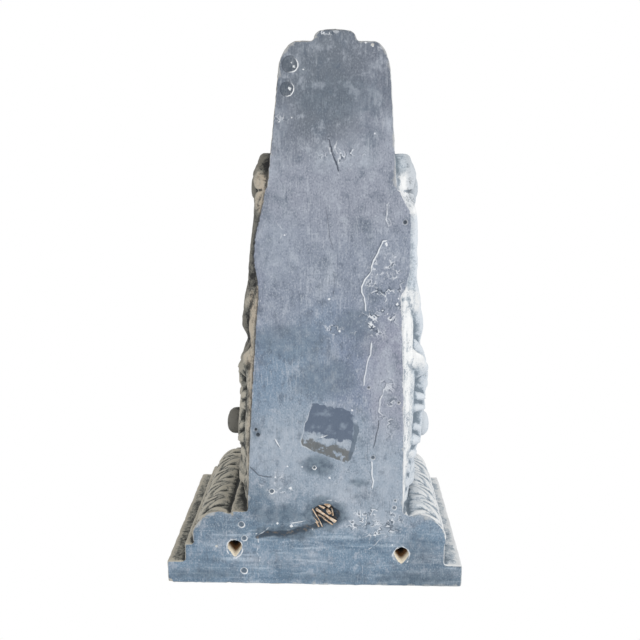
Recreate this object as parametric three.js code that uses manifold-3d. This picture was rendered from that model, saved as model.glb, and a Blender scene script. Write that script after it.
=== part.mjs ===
// An acanthus corbel: one solid casting that hangs with its flat back against a wall and its wide cap on
// top. A square-edged abacus and a fascia cap a rounded moulding cut with leaves. Under them stands an
// S-scrolled body with a large volute at its top and a small one near its foot. A long acanthus leaf runs
// down its front, a smaller leaf fills each side behind the large volute, and a broad leaf hangs below the
// small one.
//
// Millimetres, +Z up. The back lies in the plane y = 0 and the front looks along -Y. The origin is on the
// back, midway along the line of the two hanging holes. "Depth" below is the distance in front of the back.

import * as THREE from "three";
import { mergeVertices } from "three/addons/utils/BufferGeometryUtils.js";
import Module from "manifold-3d";

const wasm = await Module();
wasm.setup();

// Overall sizes
const HEIGHT = 610;
const CAP_WIDTH = 340;
const CAP_DEPTH = 250;

// Cap, from the top down. Each setback is measured from the abacus's edge.
const ABACUS_HEIGHT = 28;
const FASCIA_HEIGHT = 22;
const FASCIA_SETBACK = 21;
const OVOLO_HEIGHT = 39;
const OVOLO_SETBACK = 29;
const OVOLO_REACH = 35;
const OVOLO_OFFSET = 5;
const LEAF_PITCH = 40.6;
const LEAF_RELIEF = 7;

// Flat bed under the cap: how far it stands in from the moulding and below it
const BED_SETBACK = 6;
const BED_DROP = 2;

// Body, whose middle stands off the cap's middle and leans a little, as the casting does
const BODY_HALF_WIDTH = 88;
const FOOT_HALF_WIDTH = 54;
const BODY_OFFSET = 12;
const FOOT_OFFSET = 19.5;
const FRONT_RECESS = 8;

// Large volute: its centre's depth and drop below the cap, and its widest radius, at the front
const VOLUTE_DEPTH = 112;
const VOLUTE_DROP = 71;
const VOLUTE_RADIUS = 80;
const BOSS_RADIUS = 17;
const BOSS_RISE = 39;

// Small volute: its widest radius, at the back, its distance from the wall, and its height above the foot
const CURL_RADIUS = 43;
const CURL_STANDOFF = 3;
const CURL_HEIGHT = 158;
const CURL_BOSS_RADIUS = 13;
const CURL_BOSS_RISE = 24;

// Raised band of the side scroll: how far its edges and its channel stand out from the body
const BAND_RISE = 21;
const CHANNEL_RISE = 15;
const BAND_EDGE_RISE = 7;
const SPANDREL_RISE = 11;
const SPANDREL_BACK = 6;

// Foot leaf
const FOOT_DEPTH = 22;
const FOOT_LOBE_HALF_WIDTH = 22;
const FOOT_LOBE_LENGTH = 11;

// Hanging holes: their drop below the cap's top, radius, pointed top, depth and slant. Each stands in
// from the cap's side on its own hand, a little above or below the other.
const HOLE_DROP = 44;
const HOLE_RADIUS = 7.5;
const HOLE_POINT = 13;
const HOLE_LENGTH = 34;
const HOLE_SLANT = THREE.MathUtils.degToRad(28);
const HOLES = [
  { side: -1, fromSide: 79, raised: -3 },
  { side: 1, fromSide: 70.5, raised: 3 },
];

// Broken patches in the back where the fibre in the casting shows: middle, width, height, depth and tilt
const BREAKS = [
  { x: 13, z: -42, width: 30, height: 23, depth: 8, tilt: 12 },
  { x: -12, z: -26, width: 40, height: 12, depth: 4, tilt: -18 },
];

// Worked out from the sizes above
const CAP_TOP = HOLE_DROP;
const ABACUS_BASE = CAP_TOP - ABACUS_HEIGHT;
const FASCIA_BASE = ABACUS_BASE - FASCIA_HEIGHT;
const BODY_TOP = FASCIA_BASE - OVOLO_HEIGHT;
const FOOT_TIP = CAP_TOP - HEIGHT;
const FOOT_SHOULDER = FOOT_TIP + FOOT_LOBE_LENGTH;
const VOLUTE = new THREE.Vector2(VOLUTE_DEPTH, BODY_TOP - VOLUTE_DROP);
const CURL = new THREE.Vector2(CURL_RADIUS + CURL_STANDOFF, FOOT_TIP + CURL_HEIGHT);

// What lies behind the wall plane is cut away at the end, and pieces sink this far into each other
const BEHIND = 12;
const SINK = 8;

const lerp = THREE.MathUtils.lerp;
const clamp = THREE.MathUtils.clamp;
const radians = THREE.MathUtils.degToRad;
const smoothstep = THREE.MathUtils.smoothstep;

// The body's half width tapers slowly below the cap and faster towards the foot.
function halfWidth(z) {
  const down = clamp((BODY_TOP - z) / (BODY_TOP - FOOT_SHOULDER), 0, 1);
  return BODY_HALF_WIDTH - (BODY_HALF_WIDTH - FOOT_HALF_WIDTH) * down ** 1.5;
}

function middle(z) {
  return lerp(BODY_OFFSET, FOOT_OFFSET, (BODY_TOP - z) / (BODY_TOP - FOOT_TIP));
}

// A spiral's radius halves in each turn. Angles run from straight forward, through straight up, to the back.
function onSpiral(centre, radius, startAngle, angle) {
  const r = radius * 0.5 ** ((angle - startAngle) / 360);
  return new THREE.Vector2(
    centre.x + r * Math.cos(radians(angle)),
    centre.y + r * Math.sin(radians(angle)),
  );
}

const onVolute = (angle) => onSpiral(VOLUTE, VOLUTE_RADIUS, 0, angle);
const onCurl = (angle) => onSpiral(CURL, CURL_RADIUS, 180, angle);

// Front edge of the side scroll, from the large volute down to the small one, and its back edge
const VOLUTE_LEAVES = -20;
const CURL_MEETS = 420;
const scrollFront = (() => {
  const from = onVolute(VOLUTE_LEAVES);
  const to = onCurl(CURL_MEETS);
  const drop = from.y - to.y;
  const slope = radians(VOLUTE_LEAVES);
  return new THREE.CubicBezierCurve(
    from,
    new THREE.Vector2(
      from.x + 0.46 * drop * Math.sin(slope),
      from.y - 0.46 * drop * Math.cos(slope),
    ),
    new THREE.Vector2(to.x + 0.075 * drop, to.y + 0.37 * drop),
    to,
  );
})();
const VOLUTE_BACK_LEAVES = 228;
const scrollBack = (() => {
  const from = onVolute(VOLUTE_BACK_LEAVES);
  const to = new THREE.Vector2(-1, lerp(CURL.y, from.y, 0.33));
  const drop = from.y - to.y;
  return new THREE.CubicBezierCurve(
    from,
    new THREE.Vector2(from.x * 0.5, from.y - 0.36 * drop),
    new THREE.Vector2(to.x, to.y + 0.26 * drop),
    to,
  );
})();

// The body's whole front outline, from the cap down to the underside of the small volute
const frontOutline = (() => {
  const points = [new THREE.Vector2(VOLUTE.x + 20, BODY_TOP + SINK)];
  for (let angle = 90; angle > VOLUTE_LEAVES; angle -= 18.33)
    points.push(
      new THREE.Vector2(
        VOLUTE.x + VOLUTE_RADIUS * Math.cos(radians(angle)),
        VOLUTE.y +
          (angle > 0 ? onVolute(90).y - VOLUTE.y : VOLUTE_RADIUS) *
            Math.sin(radians(angle)),
      ),
    );
  points.push(...scrollFront.getPoints(11));
  for (let angle = 395; angle > 270; angle -= 25) points.push(onCurl(angle));
  points.push(onCurl(270));
  return points;
})();
const frontLengths = frontOutline.reduce(
  (sums, point, i) =>
    i ? [...sums, sums[i - 1] + point.distanceTo(frontOutline[i - 1])] : [0],
  [],
);

// A point on the front, by its distance down the outline, its distance from the middle and its rise
function onFront(along, across, rise) {
  const last = frontOutline.length - 1;
  let i = frontLengths.findIndex((length) => length > along);
  if (i < 1) i = along <= 0 ? 1 : last;
  const share = (along - frontLengths[i - 1]) / (frontLengths[i] - frontLengths[i - 1]);
  const at = frontOutline[i - 1].clone().lerp(frontOutline[i], share);
  const before = frontOutline[Math.max(i - 2, 0)];
  const after = frontOutline[Math.min(i + 1, last)];
  const normal = new THREE.Vector2(
    -(after.y - before.y),
    after.x - before.x,
  ).normalize();
  at.addScaledVector(normal, rise - FRONT_RECESS);
  return new THREE.Vector3(middle(at.y) + across, -at.x, at.y);
}

// How fully the carving stands out near the wall, from the body's top down to its shoulder: the share
// of the way down, then the share of the full relief on the -X side and on the +X side. It grows to
// the full relief between two depths.
const RELIEF_BY_WALL = [
  [0, 0.15, 0.2],
  [0.08, 0.25, 0.38],
  [0.13, 0.48, 0.68],
  [0.16, 0.66, 0.9],
  [0.25, 0.64, 1.12],
  [0.27, 0.58, 1.15],
  [0.29, 0.74, 1.24],
  [0.325, 0.8, 1.24],
  [0.355, 0.64, 1.14],
  [0.38, 0.48, 1.1],
  [0.42, 0.86, 1.22],
  [0.47, 0.8, 1.08],
  [0.53, 0.66, 0.9],
  [0.645, 0.64, 0.97],
  [0.73, 0.85, 1.08],
  [0.8, 0.48, 0.75],
];
const RELIEF_FULL_FROM = 20;
const RELIEF_FULL_AT = 95;
// Where the carving runs flush into the wall, on the -X side and on the +X side: the shares of the
// way down at which that starts, is full, wanes and ends. Elsewhere the carving falls away to the
// body's edge within the taper's depth.
const FLUSH_WITH_WALL = [
  [0.5, 0.58, 0.6, 0.71],
  [0.44, 0.56, 0.655, 0.715],
];
const LEAST_FLUSH = 0.12;
const TAPER_DEPTH = 14;
function reliefShare(side, depth, z) {
  const down = clamp((BODY_TOP - z) / (BODY_TOP - FOOT_SHOULDER), 0, 1);
  const next = RELIEF_BY_WALL.findIndex(([at]) => at >= Math.min(down, 0.8));
  const [above, below] = [Math.max(next - 1, 0), Math.max(next, 1)].map((i) => RELIEF_BY_WALL[i]);
  const column = side < 0 ? 1 : 2;
  const share = smoothstep(down, above[0], below[0]);
  const byWall = lerp(above[column], below[column], share);
  const [start, full, wane, end] = FLUSH_WITH_WALL[column - 1];
  const flush = smoothstep(down, start, full) * (1 - smoothstep(down, wane, end));
  const taper = lerp(LEAST_FLUSH, 1, flush);
  return (
    lerp(byWall, 1, smoothstep(depth, RELIEF_FULL_FROM, RELIEF_FULL_AT)) *
    lerp(taper, 1, smoothstep(depth, 0, TAPER_DEPTH))
  );
}

// A point on a side: side is -1 or 1, and rise is how far it stands out from the body
const onSide = (side) => (depth, z, rise) => {
  const out = rise > 0 ? rise * reliefShare(side, depth, z) : rise;
  return new THREE.Vector3(middle(z) + side * (halfWidth(z) + out), -depth, z);
};

// A point on the foot leaf's front
function footDepth(z) {
  const down = clamp((onCurl(270).y - z) / (onCurl(270).y - FOOT_TIP), 0, 1);
  return lerp(CURL.x, FOOT_DEPTH, down ** 0.8);
}
const onFoot = (down, across, rise) =>
  new THREE.Vector3(middle(-down) + across, -footDepth(-down) - rise, -down);

// A closed geometry as a solid, turned to face out
function solidOf(geometry) {
  const bare = geometry.index ? geometry.toNonIndexed() : geometry.clone();
  bare.deleteAttribute("normal");
  bare.deleteAttribute("uv");
  const merged = mergeVertices(bare, 1e-3);
  const make = (triVerts) =>
    new wasm.Manifold(
      new wasm.Mesh({
        numProp: 3,
        vertProperties: merged.attributes.position.array,
        triVerts,
      }),
    );
  const faces = new Uint32Array(merged.index.array);
  const made = make(faces);
  return made.volume() > 0 ? made : make(faces.reverse());
}

// The solid between an outer and an inner sheet, each a function of column and row that gives a point
function between(columns, rows, outer, inner) {
  const points = [];
  for (const sheet of [outer, inner])
    for (let i = 0; i <= columns; i++)
      for (let j = 0; j <= rows; j++) points.push(sheet(i, j));
  const at = (sheet, i, j) => (sheet * (columns + 1) + i) * (rows + 1) + j;
  const faces = [];
  const quad = (a, b, c, d) => faces.push(a, b, c, a, c, d);
  for (let i = 0; i < columns; i++)
    for (let j = 0; j < rows; j++) {
      quad(at(0, i, j), at(0, i + 1, j), at(0, i + 1, j + 1), at(0, i, j + 1));
      quad(at(1, i, j), at(1, i, j + 1), at(1, i + 1, j + 1), at(1, i + 1, j));
    }
  for (let i = 0; i < columns; i++) {
    quad(at(0, i, 0), at(1, i, 0), at(1, i + 1, 0), at(0, i + 1, 0));
    quad(at(0, i, rows), at(0, i + 1, rows), at(1, i + 1, rows), at(1, i, rows));
  }
  for (let j = 0; j < rows; j++) {
    quad(at(0, 0, j), at(0, 0, j + 1), at(1, 0, j + 1), at(1, 0, j));
    quad(
      at(0, columns, j),
      at(1, columns, j),
      at(1, columns, j + 1),
      at(0, columns, j + 1),
    );
  }
  const geometry = new THREE.BufferGeometry().setFromPoints(points);
  geometry.setIndex(faces);
  return solidOf(geometry);
}

// A flat-topped solid on a side, whose closed outline can be seen whole from its centre
function prism(place, centre, outline, low, high) {
  const points = [place(centre.x, centre.y, low), place(centre.x, centre.y, high)];
  const faces = [];
  outline.forEach((at, i) => {
    points.push(place(at.x, at.y, low), place(at.x, at.y, high));
    const here = 2 + 2 * i;
    const next = 2 + 2 * ((i + 1) % outline.length);
    faces.push(0, next, here, 1, here + 1, next + 1);
    faces.push(here, next, next + 1, here, next + 1, here + 1);
  });
  const geometry = new THREE.BufferGeometry().setFromPoints(points);
  geometry.setIndex(faces);
  return solidOf(geometry);
}

// A ribbon between two edges on a side, with a section across it: shares of its width and rises. Where it
// has ends, it runs on a little way towards each of those two points, sinking under what stands there.
const BAND_SECTION = [
  [0, BAND_RISE],
  [0.14, BAND_RISE],
  [0.24, CHANNEL_RISE],
  [0.72, CHANNEL_RISE],
  [0.82, BAND_RISE],
  [0.92, BAND_RISE],
  [1, BAND_EDGE_RISE],
];
function ribbon(place, { rows, edgeA, edgeB, section, sink = SINK, ends }) {
  const extra = ends ? 1 : 0;
  const on = (i, j, rise) => {
    const row = clamp(j - extra, 0, rows);
    const at = edgeA(row / rows).lerp(edgeB(row / rows), section[i][0]);
    const runsOn = row !== j - extra;
    if (runsOn) at.lerp(ends[j ? 1 : 0], 0.3);
    return place(at.x, at.y, runsOn ? 0.5 * rise : rise);
  };
  return between(
    section.length - 1,
    rows + 2 * extra,
    (i, j) => on(i, j, section[i][1]),
    (i, j) => on(i, j, -sink),
  );
}

// A volute: a disc at the channel's level with a spiral edge, and two turns of raised fillet on it
const FILLET_SECTION = [
  [0, BAND_RISE],
  [0.6, BAND_RISE],
  [1, CHANNEL_RISE - 2],
];
const FILLET_SHARE = 0.2;
const FILLET_STANDS_OUT = 1.5;
function volute(place, centre, spiral, startAngle) {
  const columns = 20;
  const outline = [...Array(columns).keys()].map((i) => {
    const edge = spiral(startAngle + (360 * i) / columns);
    return edge.lerp(centre, FILLET_STANDS_OUT / edge.distanceTo(centre));
  });
  const disc = prism(place, centre, outline, 1 - SINK, CHANNEL_RISE - 1);
  const fillet = ribbon(place, {
    rows: 30,
    edgeA: (t) => spiral(startAngle + 660 * t),
    edgeB: (t) => spiral(startAngle + 660 * t).lerp(centre, FILLET_SHARE),
    section: FILLET_SECTION,
  });
  return [disc, fillet];
}

// A round boss with a softened rim
function boss(place, centre, radius, rise) {
  const rings = [
    [1, -SINK],
    [1, lerp(CHANNEL_RISE, rise, 0.6)],
    [0.75, lerp(CHANNEL_RISE, rise, 0.9)],
    [0.4, rise],
  ];
  const sides = 12;
  const profile = rings.map(([share, height]) => new THREE.Vector2(share * radius, height));
  profile.unshift(new THREE.Vector2(0, -SINK));
  profile.push(new THREE.Vector2(0, rise));
  const geometry = new THREE.LatheGeometry(profile, sides);
  const points = geometry.attributes.position;
  for (let i = 0; i < points.count; i++) {
    const made = place(
      centre.x + points.getX(i),
      centre.y + points.getZ(i),
      points.getY(i),
    );
    points.setXYZ(i, made.x, made.y, made.z);
  }
  return solidOf(geometry);
}

// One lobe of an acanthus leaf. Its leaflets spread from a root of some width, each crowned along its middle
// and cut back between its neighbours. heading is in degrees, and curl lifts the far edge.
const LOBE_ROWS = [
  { reach: 0, crest: 0.45, valley: 0.4 },
  { reach: 0.45, crest: 1, valley: 0.55 },
  { reach: 1, crest: 0.45, valley: 0.25 },
];
function lobe(place, { at, heading, length, root, spread, leaflets, rise, curl = 0 }) {
  const rays = 2 * leaflets;
  const across = radians(heading + 90);
  const point = (i, j, high) => {
    const off = (2 * i) / rays - 1;
    const isCrest = i % 2 === 1;
    const angle = radians(heading + spread * off);
    const row = LOBE_ROWS[j];
    const reach = row.reach * length * (1 - 0.25 * off * off) * (isCrest ? 1 : 0.84);
    const lift = curl * row.reach ** 2;
    return place(
      at.x + root * off * Math.cos(across) + reach * Math.cos(angle),
      at.y + root * off * Math.sin(across) + reach * Math.sin(angle),
      high ? lift + rise * (isCrest ? row.crest : row.valley) : lift - SINK,
    );
  };
  return between(
    rays,
    LOBE_ROWS.length - 1,
    (i, j) => point(i, j, true),
    (i, j) => point(i, j, false),
  );
}

// A whole leaf: pairs of lobes along an axis, a lobe at its tip, and a grooved rib down its middle. axis
// gives a point by its share of the way along, and bearing its heading there in degrees. A pair may have one
// shorter lobe.
function leaf(place, { axis, bearing, pairs, tip, rise, ribWidth }) {
  const solids = [];
  pairs.forEach((pair) => {
    for (const hand of [-1, 1])
      solids.push(
        lobe(place, {
          rise,
          ...pair,
          length: hand < 0 ? (pair.shorter ?? pair.length) : pair.length,
          at: axis(pair.along),
          heading: bearing(pair.along) + hand * pair.angle,
        }),
      );
  });
  solids.push(
    lobe(place, {
      rise,
      ...tip,
      at: axis(tip.along),
      heading: bearing(tip.along),
    }),
  );
  const section = [-1, -0.45, 0, 0.45, 1];
  const rows = 7;
  const rib = (i, j, rises) => {
    const share = (j / rows) * (tip.along + 0.04);
    const turn = radians(bearing(share) + 90);
    const off = section[i] * ribWidth * lerp(1, 0.4, share);
    const at = axis(share);
    return place(at.x + off * Math.cos(turn), at.y + off * Math.sin(turn), rises[i]);
  };
  const crown = [0.5, 0.95, 0.8, 0.95, 0.5].map((share) => share * rise);
  solids.push(
    between(
      section.length - 1,
      rows,
      (i, j) => rib(i, j, crown),
      (i, j) => rib(i, j, section.map(() => -SINK)),
    ),
  );
  return solids;
}

// Body core, between the two side scrolls
function core() {
  const rows = frontOutline.length - 1;
  const edge = (i, j, depth) => {
    const z = frontOutline[j].y;
    return new THREE.Vector3(middle(z) + (i ? 1 : -1) * halfWidth(z), -depth, z);
  };
  return between(
    1,
    rows,
    (i, j) => edge(i, j, frontOutline[j].x - FRONT_RECESS),
    (i, j) => edge(i, j, -BEHIND),
  );
}

// Slab behind the foot leaf, with a rounded shoulder at each side and a round lobe at its tip
const FOOT_COLUMNS = [0, 0.2, 0.32, 0.385, 0.42, 0.56, 0.7, 0.8, 0.9, 0.96, 1];
function footEnd(share) {
  const off = Math.abs(share);
  const lobeShare = FOOT_LOBE_HALF_WIDTH / FOOT_HALF_WIDTH;
  if (off < lobeShare)
    return FOOT_SHOULDER - FOOT_LOBE_LENGTH * Math.sqrt(1 - (off / lobeShare) ** 4);
  const shoulder = clamp((off - 0.7) / 0.3, 0, 1);
  return FOOT_SHOULDER + 0.5 * FOOT_HALF_WIDTH * (1 - Math.sqrt(1 - shoulder ** 2));
}
function footSlab() {
  const shares = [...FOOT_COLUMNS.slice(1).map((share) => -share).reverse(), ...FOOT_COLUMNS];
  const rows = 3;
  const top = onCurl(270).y + 2 * SINK;
  const on = (i, j, depth) => {
    const z = lerp(top, footEnd(shares[i]), j / rows);
    return new THREE.Vector3(middle(z) + shares[i] * halfWidth(z), -depth(z), z);
  };
  return between(
    shares.length - 1,
    rows,
    (i, j) => on(i, j, footDepth),
    (i, j) => on(i, j, () => -BEHIND),
  );
}

// Flat field behind the large volute, which carries the side leaf
function spandrel(place) {
  const top = BODY_TOP + SINK;
  const bottom = lerp(scrollBack.v3.y, scrollBack.v0.y, 0.2);
  return ribbon(place, {
    rows: 5,
    edgeA: (t) => new THREE.Vector2(SPANDREL_BACK, lerp(top, bottom, t)),
    edgeB: (t) => new THREE.Vector2(lerp(VOLUTE.x, SPANDREL_BACK + 8, t), lerp(top, bottom, t)),
    section: [
      [0, SPANDREL_RISE],
      [1, SPANDREL_RISE],
    ],
    sink: SINK + 3,
  });
}

// One side's scroll, with its volutes, bosses and leaf
function sideScroll(side) {
  const place = onSide(side);
  const leafAxis = new THREE.QuadraticBezierCurve(
    new THREE.Vector2(0.35 * VOLUTE.x, BODY_TOP + 4),
    new THREE.Vector2(0.38 * VOLUTE.x, lerp(VOLUTE.y, scrollBack.v0.y, 0.6)),
    new THREE.Vector2(0.2 * VOLUTE.x, lerp(scrollBack.v0.y, scrollBack.v3.y, 0.62)),
  );
  const bearing = (share) => {
    const way = leafAxis.getTangent(share);
    return THREE.MathUtils.radToDeg(Math.atan2(way.y, way.x));
  };
  return [
    ...volute(place, VOLUTE, onVolute, VOLUTE_LEAVES - 10),
    ...volute(place, CURL, onCurl, 180),
    ribbon(place, {
      rows: 14,
      edgeA: (t) => scrollFront.getPoint(t),
      edgeB: (t) =>
        t < 0.75
          ? scrollBack.getPoint(t / 0.75)
          : scrollBack.v3.clone().lerp(new THREE.Vector2(scrollBack.v3.x, CURL.y), 4 * t - 3),
      section: BAND_SECTION,
      sink: SINK + 1.5,
      ends: [VOLUTE, CURL],
    }),
    boss(place, VOLUTE, BOSS_RADIUS, BOSS_RISE),
    boss(place, CURL, CURL_BOSS_RADIUS, CURL_BOSS_RISE),
    spandrel(place),
    ...leaf(place, {
      axis: (share) => leafAxis.getPoint(share),
      bearing,
      rise: 26,
      ribWidth: 8,
      pairs: [
        { along: 0.13, angle: 62, length: 50, shorter: 32, root: 15, spread: 30, leaflets: 3 },
        { along: 0.38, angle: 58, length: 48, shorter: 30, root: 15, spread: 30, leaflets: 3 },
        { along: 0.62, angle: 50, length: 38, shorter: 22, root: 13, spread: 28, leaflets: 3 },
      ],
      tip: { along: 0.74, length: 50, root: 9, spread: 30, leaflets: 3 },
    }),
  ];
}

// Long acanthus leaf down the front, its tip curling forward above the small volute
function frontLeaf() {
  const start = frontLengths[1];
  const length = 0.8 * (frontLengths.at(-1) - start);
  const axis = (share) => new THREE.Vector2(start + share * length, 0);
  return leaf(onFront, {
    axis,
    bearing: () => 0,
    rise: 15,
    ribWidth: 11,
    pairs: [
      { along: 0.06, angle: 58, length: 72, root: 26, spread: 30, leaflets: 4 },
      { along: 0.22, angle: 56, length: 74, root: 26, spread: 30, leaflets: 4 },
      { along: 0.38, angle: 52, length: 74, root: 25, spread: 30, leaflets: 4 },
      { along: 0.53, angle: 48, length: 68, root: 23, spread: 30, leaflets: 4 },
      { along: 0.67, angle: 42, length: 58, root: 20, spread: 30, leaflets: 3 },
    ],
    tip: { along: 0.76, length: 88, root: 22, spread: 26, leaflets: 5, curl: 26 },
  });
}

// Leaf that hangs below the small volute
function footLeaf() {
  const start = -(onCurl(270).y + 0.5 * SINK);
  const length = -FOOT_TIP - start;
  return leaf(onFoot, {
    axis: (share) => new THREE.Vector2(start + share * length, 0),
    bearing: () => 0,
    rise: 9,
    ribWidth: 8,
    pairs: [
      { along: 0.14, angle: 58, length: 58, root: 19, spread: 28, leaflets: 3 },
      { along: 0.48, angle: 50, length: 52, root: 18, spread: 28, leaflets: 3 },
    ],
    tip: { along: 0.6, length: 0.39 * length, root: 18, spread: 12, leaflets: 3, curl: 8 },
  });
}

function box(x0, x1, depth0, depth1, z0, z1) {
  return solidOf(
    new THREE.BoxGeometry(x1 - x0, depth1 - depth0, z1 - z0).translate(
      (x0 + x1) / 2,
      -(depth0 + depth1) / 2,
      (z0 + z1) / 2,
    ),
  );
}

// A block of the cap that stands back from the abacus's edge on three sides
function capBlock(setback, z0, z1, offset = 0) {
  const half = CAP_WIDTH / 2 - setback;
  return box(offset - half, offset + half, -BEHIND, CAP_DEPTH - setback, z0, z1);
}

// Rounded moulding under the fascia, cut with upright leaves. It runs round the bed, from the wall on one
// side to the wall on the other, and fans round each front corner.
function leafMoulding() {
  const setback = OVOLO_SETBACK + OVOLO_REACH;
  const half = CAP_WIDTH / 2 - setback;
  const depth = CAP_DEPTH - setback;
  const corner = (Math.PI / 2) * 0.57 * OVOLO_REACH;
  const total = half + corner + depth;
  // The foot of the moulding at a distance from the front's middle, and the way it faces there
  const along = (distance) => {
    const off = Math.abs(distance);
    const hand = Math.sign(distance) || 1;
    if (off <= half) return { x: distance, depth, turn: 0, hand };
    if (off <= half + corner)
      return { x: hand * half, depth, turn: ((off - half) / corner) * 90, hand };
    return { x: hand * half, depth: depth + half + corner - off, turn: 90, hand };
  };
  const columnShares = [0, 0.22, 0.5, 0.78];
  const reliefAcross = [0, 1, 0.7, 1];
  const stations = [];
  for (let k = 0; (k - 0.5) * LEAF_PITCH < total; k++)
    columnShares.forEach((share, n) => {
      const distance = (k - 0.5 + share) * LEAF_PITCH;
      if (distance >= 0 && distance < total)
        stations.push({ distance, relief: reliefAcross[n] });
    });
  stations.push({ distance: total + BEHIND, relief: 0.6 });
  const all = [
    ...stations.slice(1).map((s) => ({ ...s, distance: -s.distance })).reverse(),
    ...stations,
  ];
  const turns = [0, 20, 40, 58, 74, 86];
  const reliefDown = [0.35, 0.85, 1, 1, 0.9, 0.45];
  const outer = (i, j) => {
    const foot = along(all[i].distance);
    const swing = radians(turns[j]);
    const relief = LEAF_RELIEF * all[i].relief * reliefDown[j];
    const reach = (OVOLO_REACH + relief) * Math.cos(swing);
    const z = FASCIA_BASE - (OVOLO_HEIGHT + 0.6 * relief) * Math.sin(swing);
    const turn = radians(foot.turn);
    return new THREE.Vector3(
      OVOLO_OFFSET + foot.x + foot.hand * reach * Math.sin(turn),
      -(foot.depth + reach * Math.cos(turn)),
      z,
    );
  };
  const inner = (i, j) => {
    const foot = along(all[i].distance);
    const turn = radians(foot.turn);
    return new THREE.Vector3(
      OVOLO_OFFSET + foot.x - foot.hand * SINK * Math.sin(turn),
      -(foot.depth - SINK * Math.cos(turn)),
      lerp(FASCIA_BASE + SINK, BODY_TOP + BED_DROP, j / (turns.length - 1)),
    );
  };
  return between(all.length - 1, turns.length - 1, outer, inner);
}

// A hanging hole: round below and drawn to a point above, drilled on a slant towards the foot
function hole({ side, fromSide, raised }) {
  const x = side * (CAP_WIDTH / 2 - fromSide);
  const shape = new THREE.Shape();
  shape.absarc(0, 0, HOLE_RADIUS, radians(150), radians(390), false);
  shape.lineTo(0, HOLE_POINT);
  shape.closePath();
  const geometry = new THREE.ExtrudeGeometry(shape, {
    depth: HOLE_LENGTH + BEHIND,
    bevelEnabled: false,
    curveSegments: 10,
  });
  geometry.translate(0, 0, -BEHIND);
  const points = geometry.attributes.position;
  for (let i = 0; i < points.count; i++) {
    const inward = points.getZ(i);
    const share = clamp(inward / HOLE_LENGTH, 0, 1);
    const narrowed = points.getY(i) > 0 ? 1 - 0.45 * share : 1;
    points.setXYZ(
      i,
      x + points.getX(i) * (1 - 0.15 * share),
      -inward,
      raised + points.getY(i) * narrowed - inward * Math.tan(HOLE_SLANT),
    );
  }
  return solidOf(geometry);
}

// A broken patch, as half a flattened ball
function brokenPatch({ x, z, width, height, depth, tilt }) {
  const geometry = new THREE.SphereGeometry(1, 10, 6);
  geometry.scale(width / 2, depth, height / 2);
  geometry.rotateY(radians(-tilt));
  geometry.translate(x, 0, z);
  return solidOf(geometry);
}

function corbel() {
  const bedSetback = OVOLO_SETBACK + OVOLO_REACH + BED_SETBACK;
  const pieces = [
    core(),
    footSlab(),
    ...sideScroll(-1),
    ...sideScroll(1),
    ...frontLeaf(),
    ...footLeaf(),
    leafMoulding(),
    capBlock(bedSetback, BODY_TOP - BED_DROP, ABACUS_BASE + 1, OVOLO_OFFSET),
    capBlock(FASCIA_SETBACK, FASCIA_BASE, ABACUS_BASE + 1),
    capBlock(0, ABACUS_BASE, CAP_TOP),
  ];
  const whole = pieces.reduce((sum, piece) => sum.add(piece));
  const reach = 2 * HEIGHT;
  const behindWall = box(-reach, reach, -reach, 0, -reach, reach);
  const cuts = [behindWall, ...HOLES.map(hole), ...BREAKS.map(brokenPatch)];
  return cuts.reduce((solid, cut) => solid.subtract(cut), whole);
}

const material = new THREE.MeshStandardMaterial({
  color: 0x8a8d88,
  roughness: 0.85,
  metalness: 0,
});

function meshOf(name, solid) {
  const made = solid.getMesh();
  const geometry = new THREE.BufferGeometry();
  geometry.setAttribute("position", new THREE.BufferAttribute(made.vertProperties, 3));
  geometry.setIndex(new THREE.BufferAttribute(made.triVerts, 1));
  geometry.computeVertexNormals();
  const mesh = new THREE.Mesh(geometry, material);
  mesh.name = name;
  return mesh;
}

const group = new THREE.Group();
group.add(meshOf("corbel", corbel()));

export default group;
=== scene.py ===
"""An acanthus corbel seen from behind, standing upside down on its cap. The casting is built as one finely
carved mesh, in millimetres, and scaled to metres at the end."""

import itertools
import math

import bmesh
import bpy
import numpy as np
from mathutils import Matrix, Vector


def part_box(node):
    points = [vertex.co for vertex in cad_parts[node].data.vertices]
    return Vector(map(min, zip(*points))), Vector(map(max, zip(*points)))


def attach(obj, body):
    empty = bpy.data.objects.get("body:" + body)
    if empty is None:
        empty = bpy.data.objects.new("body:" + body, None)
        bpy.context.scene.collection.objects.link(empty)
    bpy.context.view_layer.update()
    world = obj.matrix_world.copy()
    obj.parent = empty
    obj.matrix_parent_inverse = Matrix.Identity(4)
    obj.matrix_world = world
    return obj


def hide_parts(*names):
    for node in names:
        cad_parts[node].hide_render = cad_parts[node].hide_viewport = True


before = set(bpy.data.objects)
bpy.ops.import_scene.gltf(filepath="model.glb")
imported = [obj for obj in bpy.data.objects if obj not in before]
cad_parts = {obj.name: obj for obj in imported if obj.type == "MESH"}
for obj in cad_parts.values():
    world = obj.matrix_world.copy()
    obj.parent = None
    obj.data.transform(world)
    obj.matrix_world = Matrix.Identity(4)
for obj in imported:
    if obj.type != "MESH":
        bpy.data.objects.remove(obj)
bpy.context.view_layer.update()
LOW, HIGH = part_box("corbel")

# Millimetres to metres, and the casting's overall sizes from the frame
MM = 0.001
CAP_TOP = HIGH.z / MM
FOOT_TIP = LOW.z / MM
CAP_WIDTH = (HIGH.x - LOW.x) / MM
CAP_DEPTH = -LOW.y / MM

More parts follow.
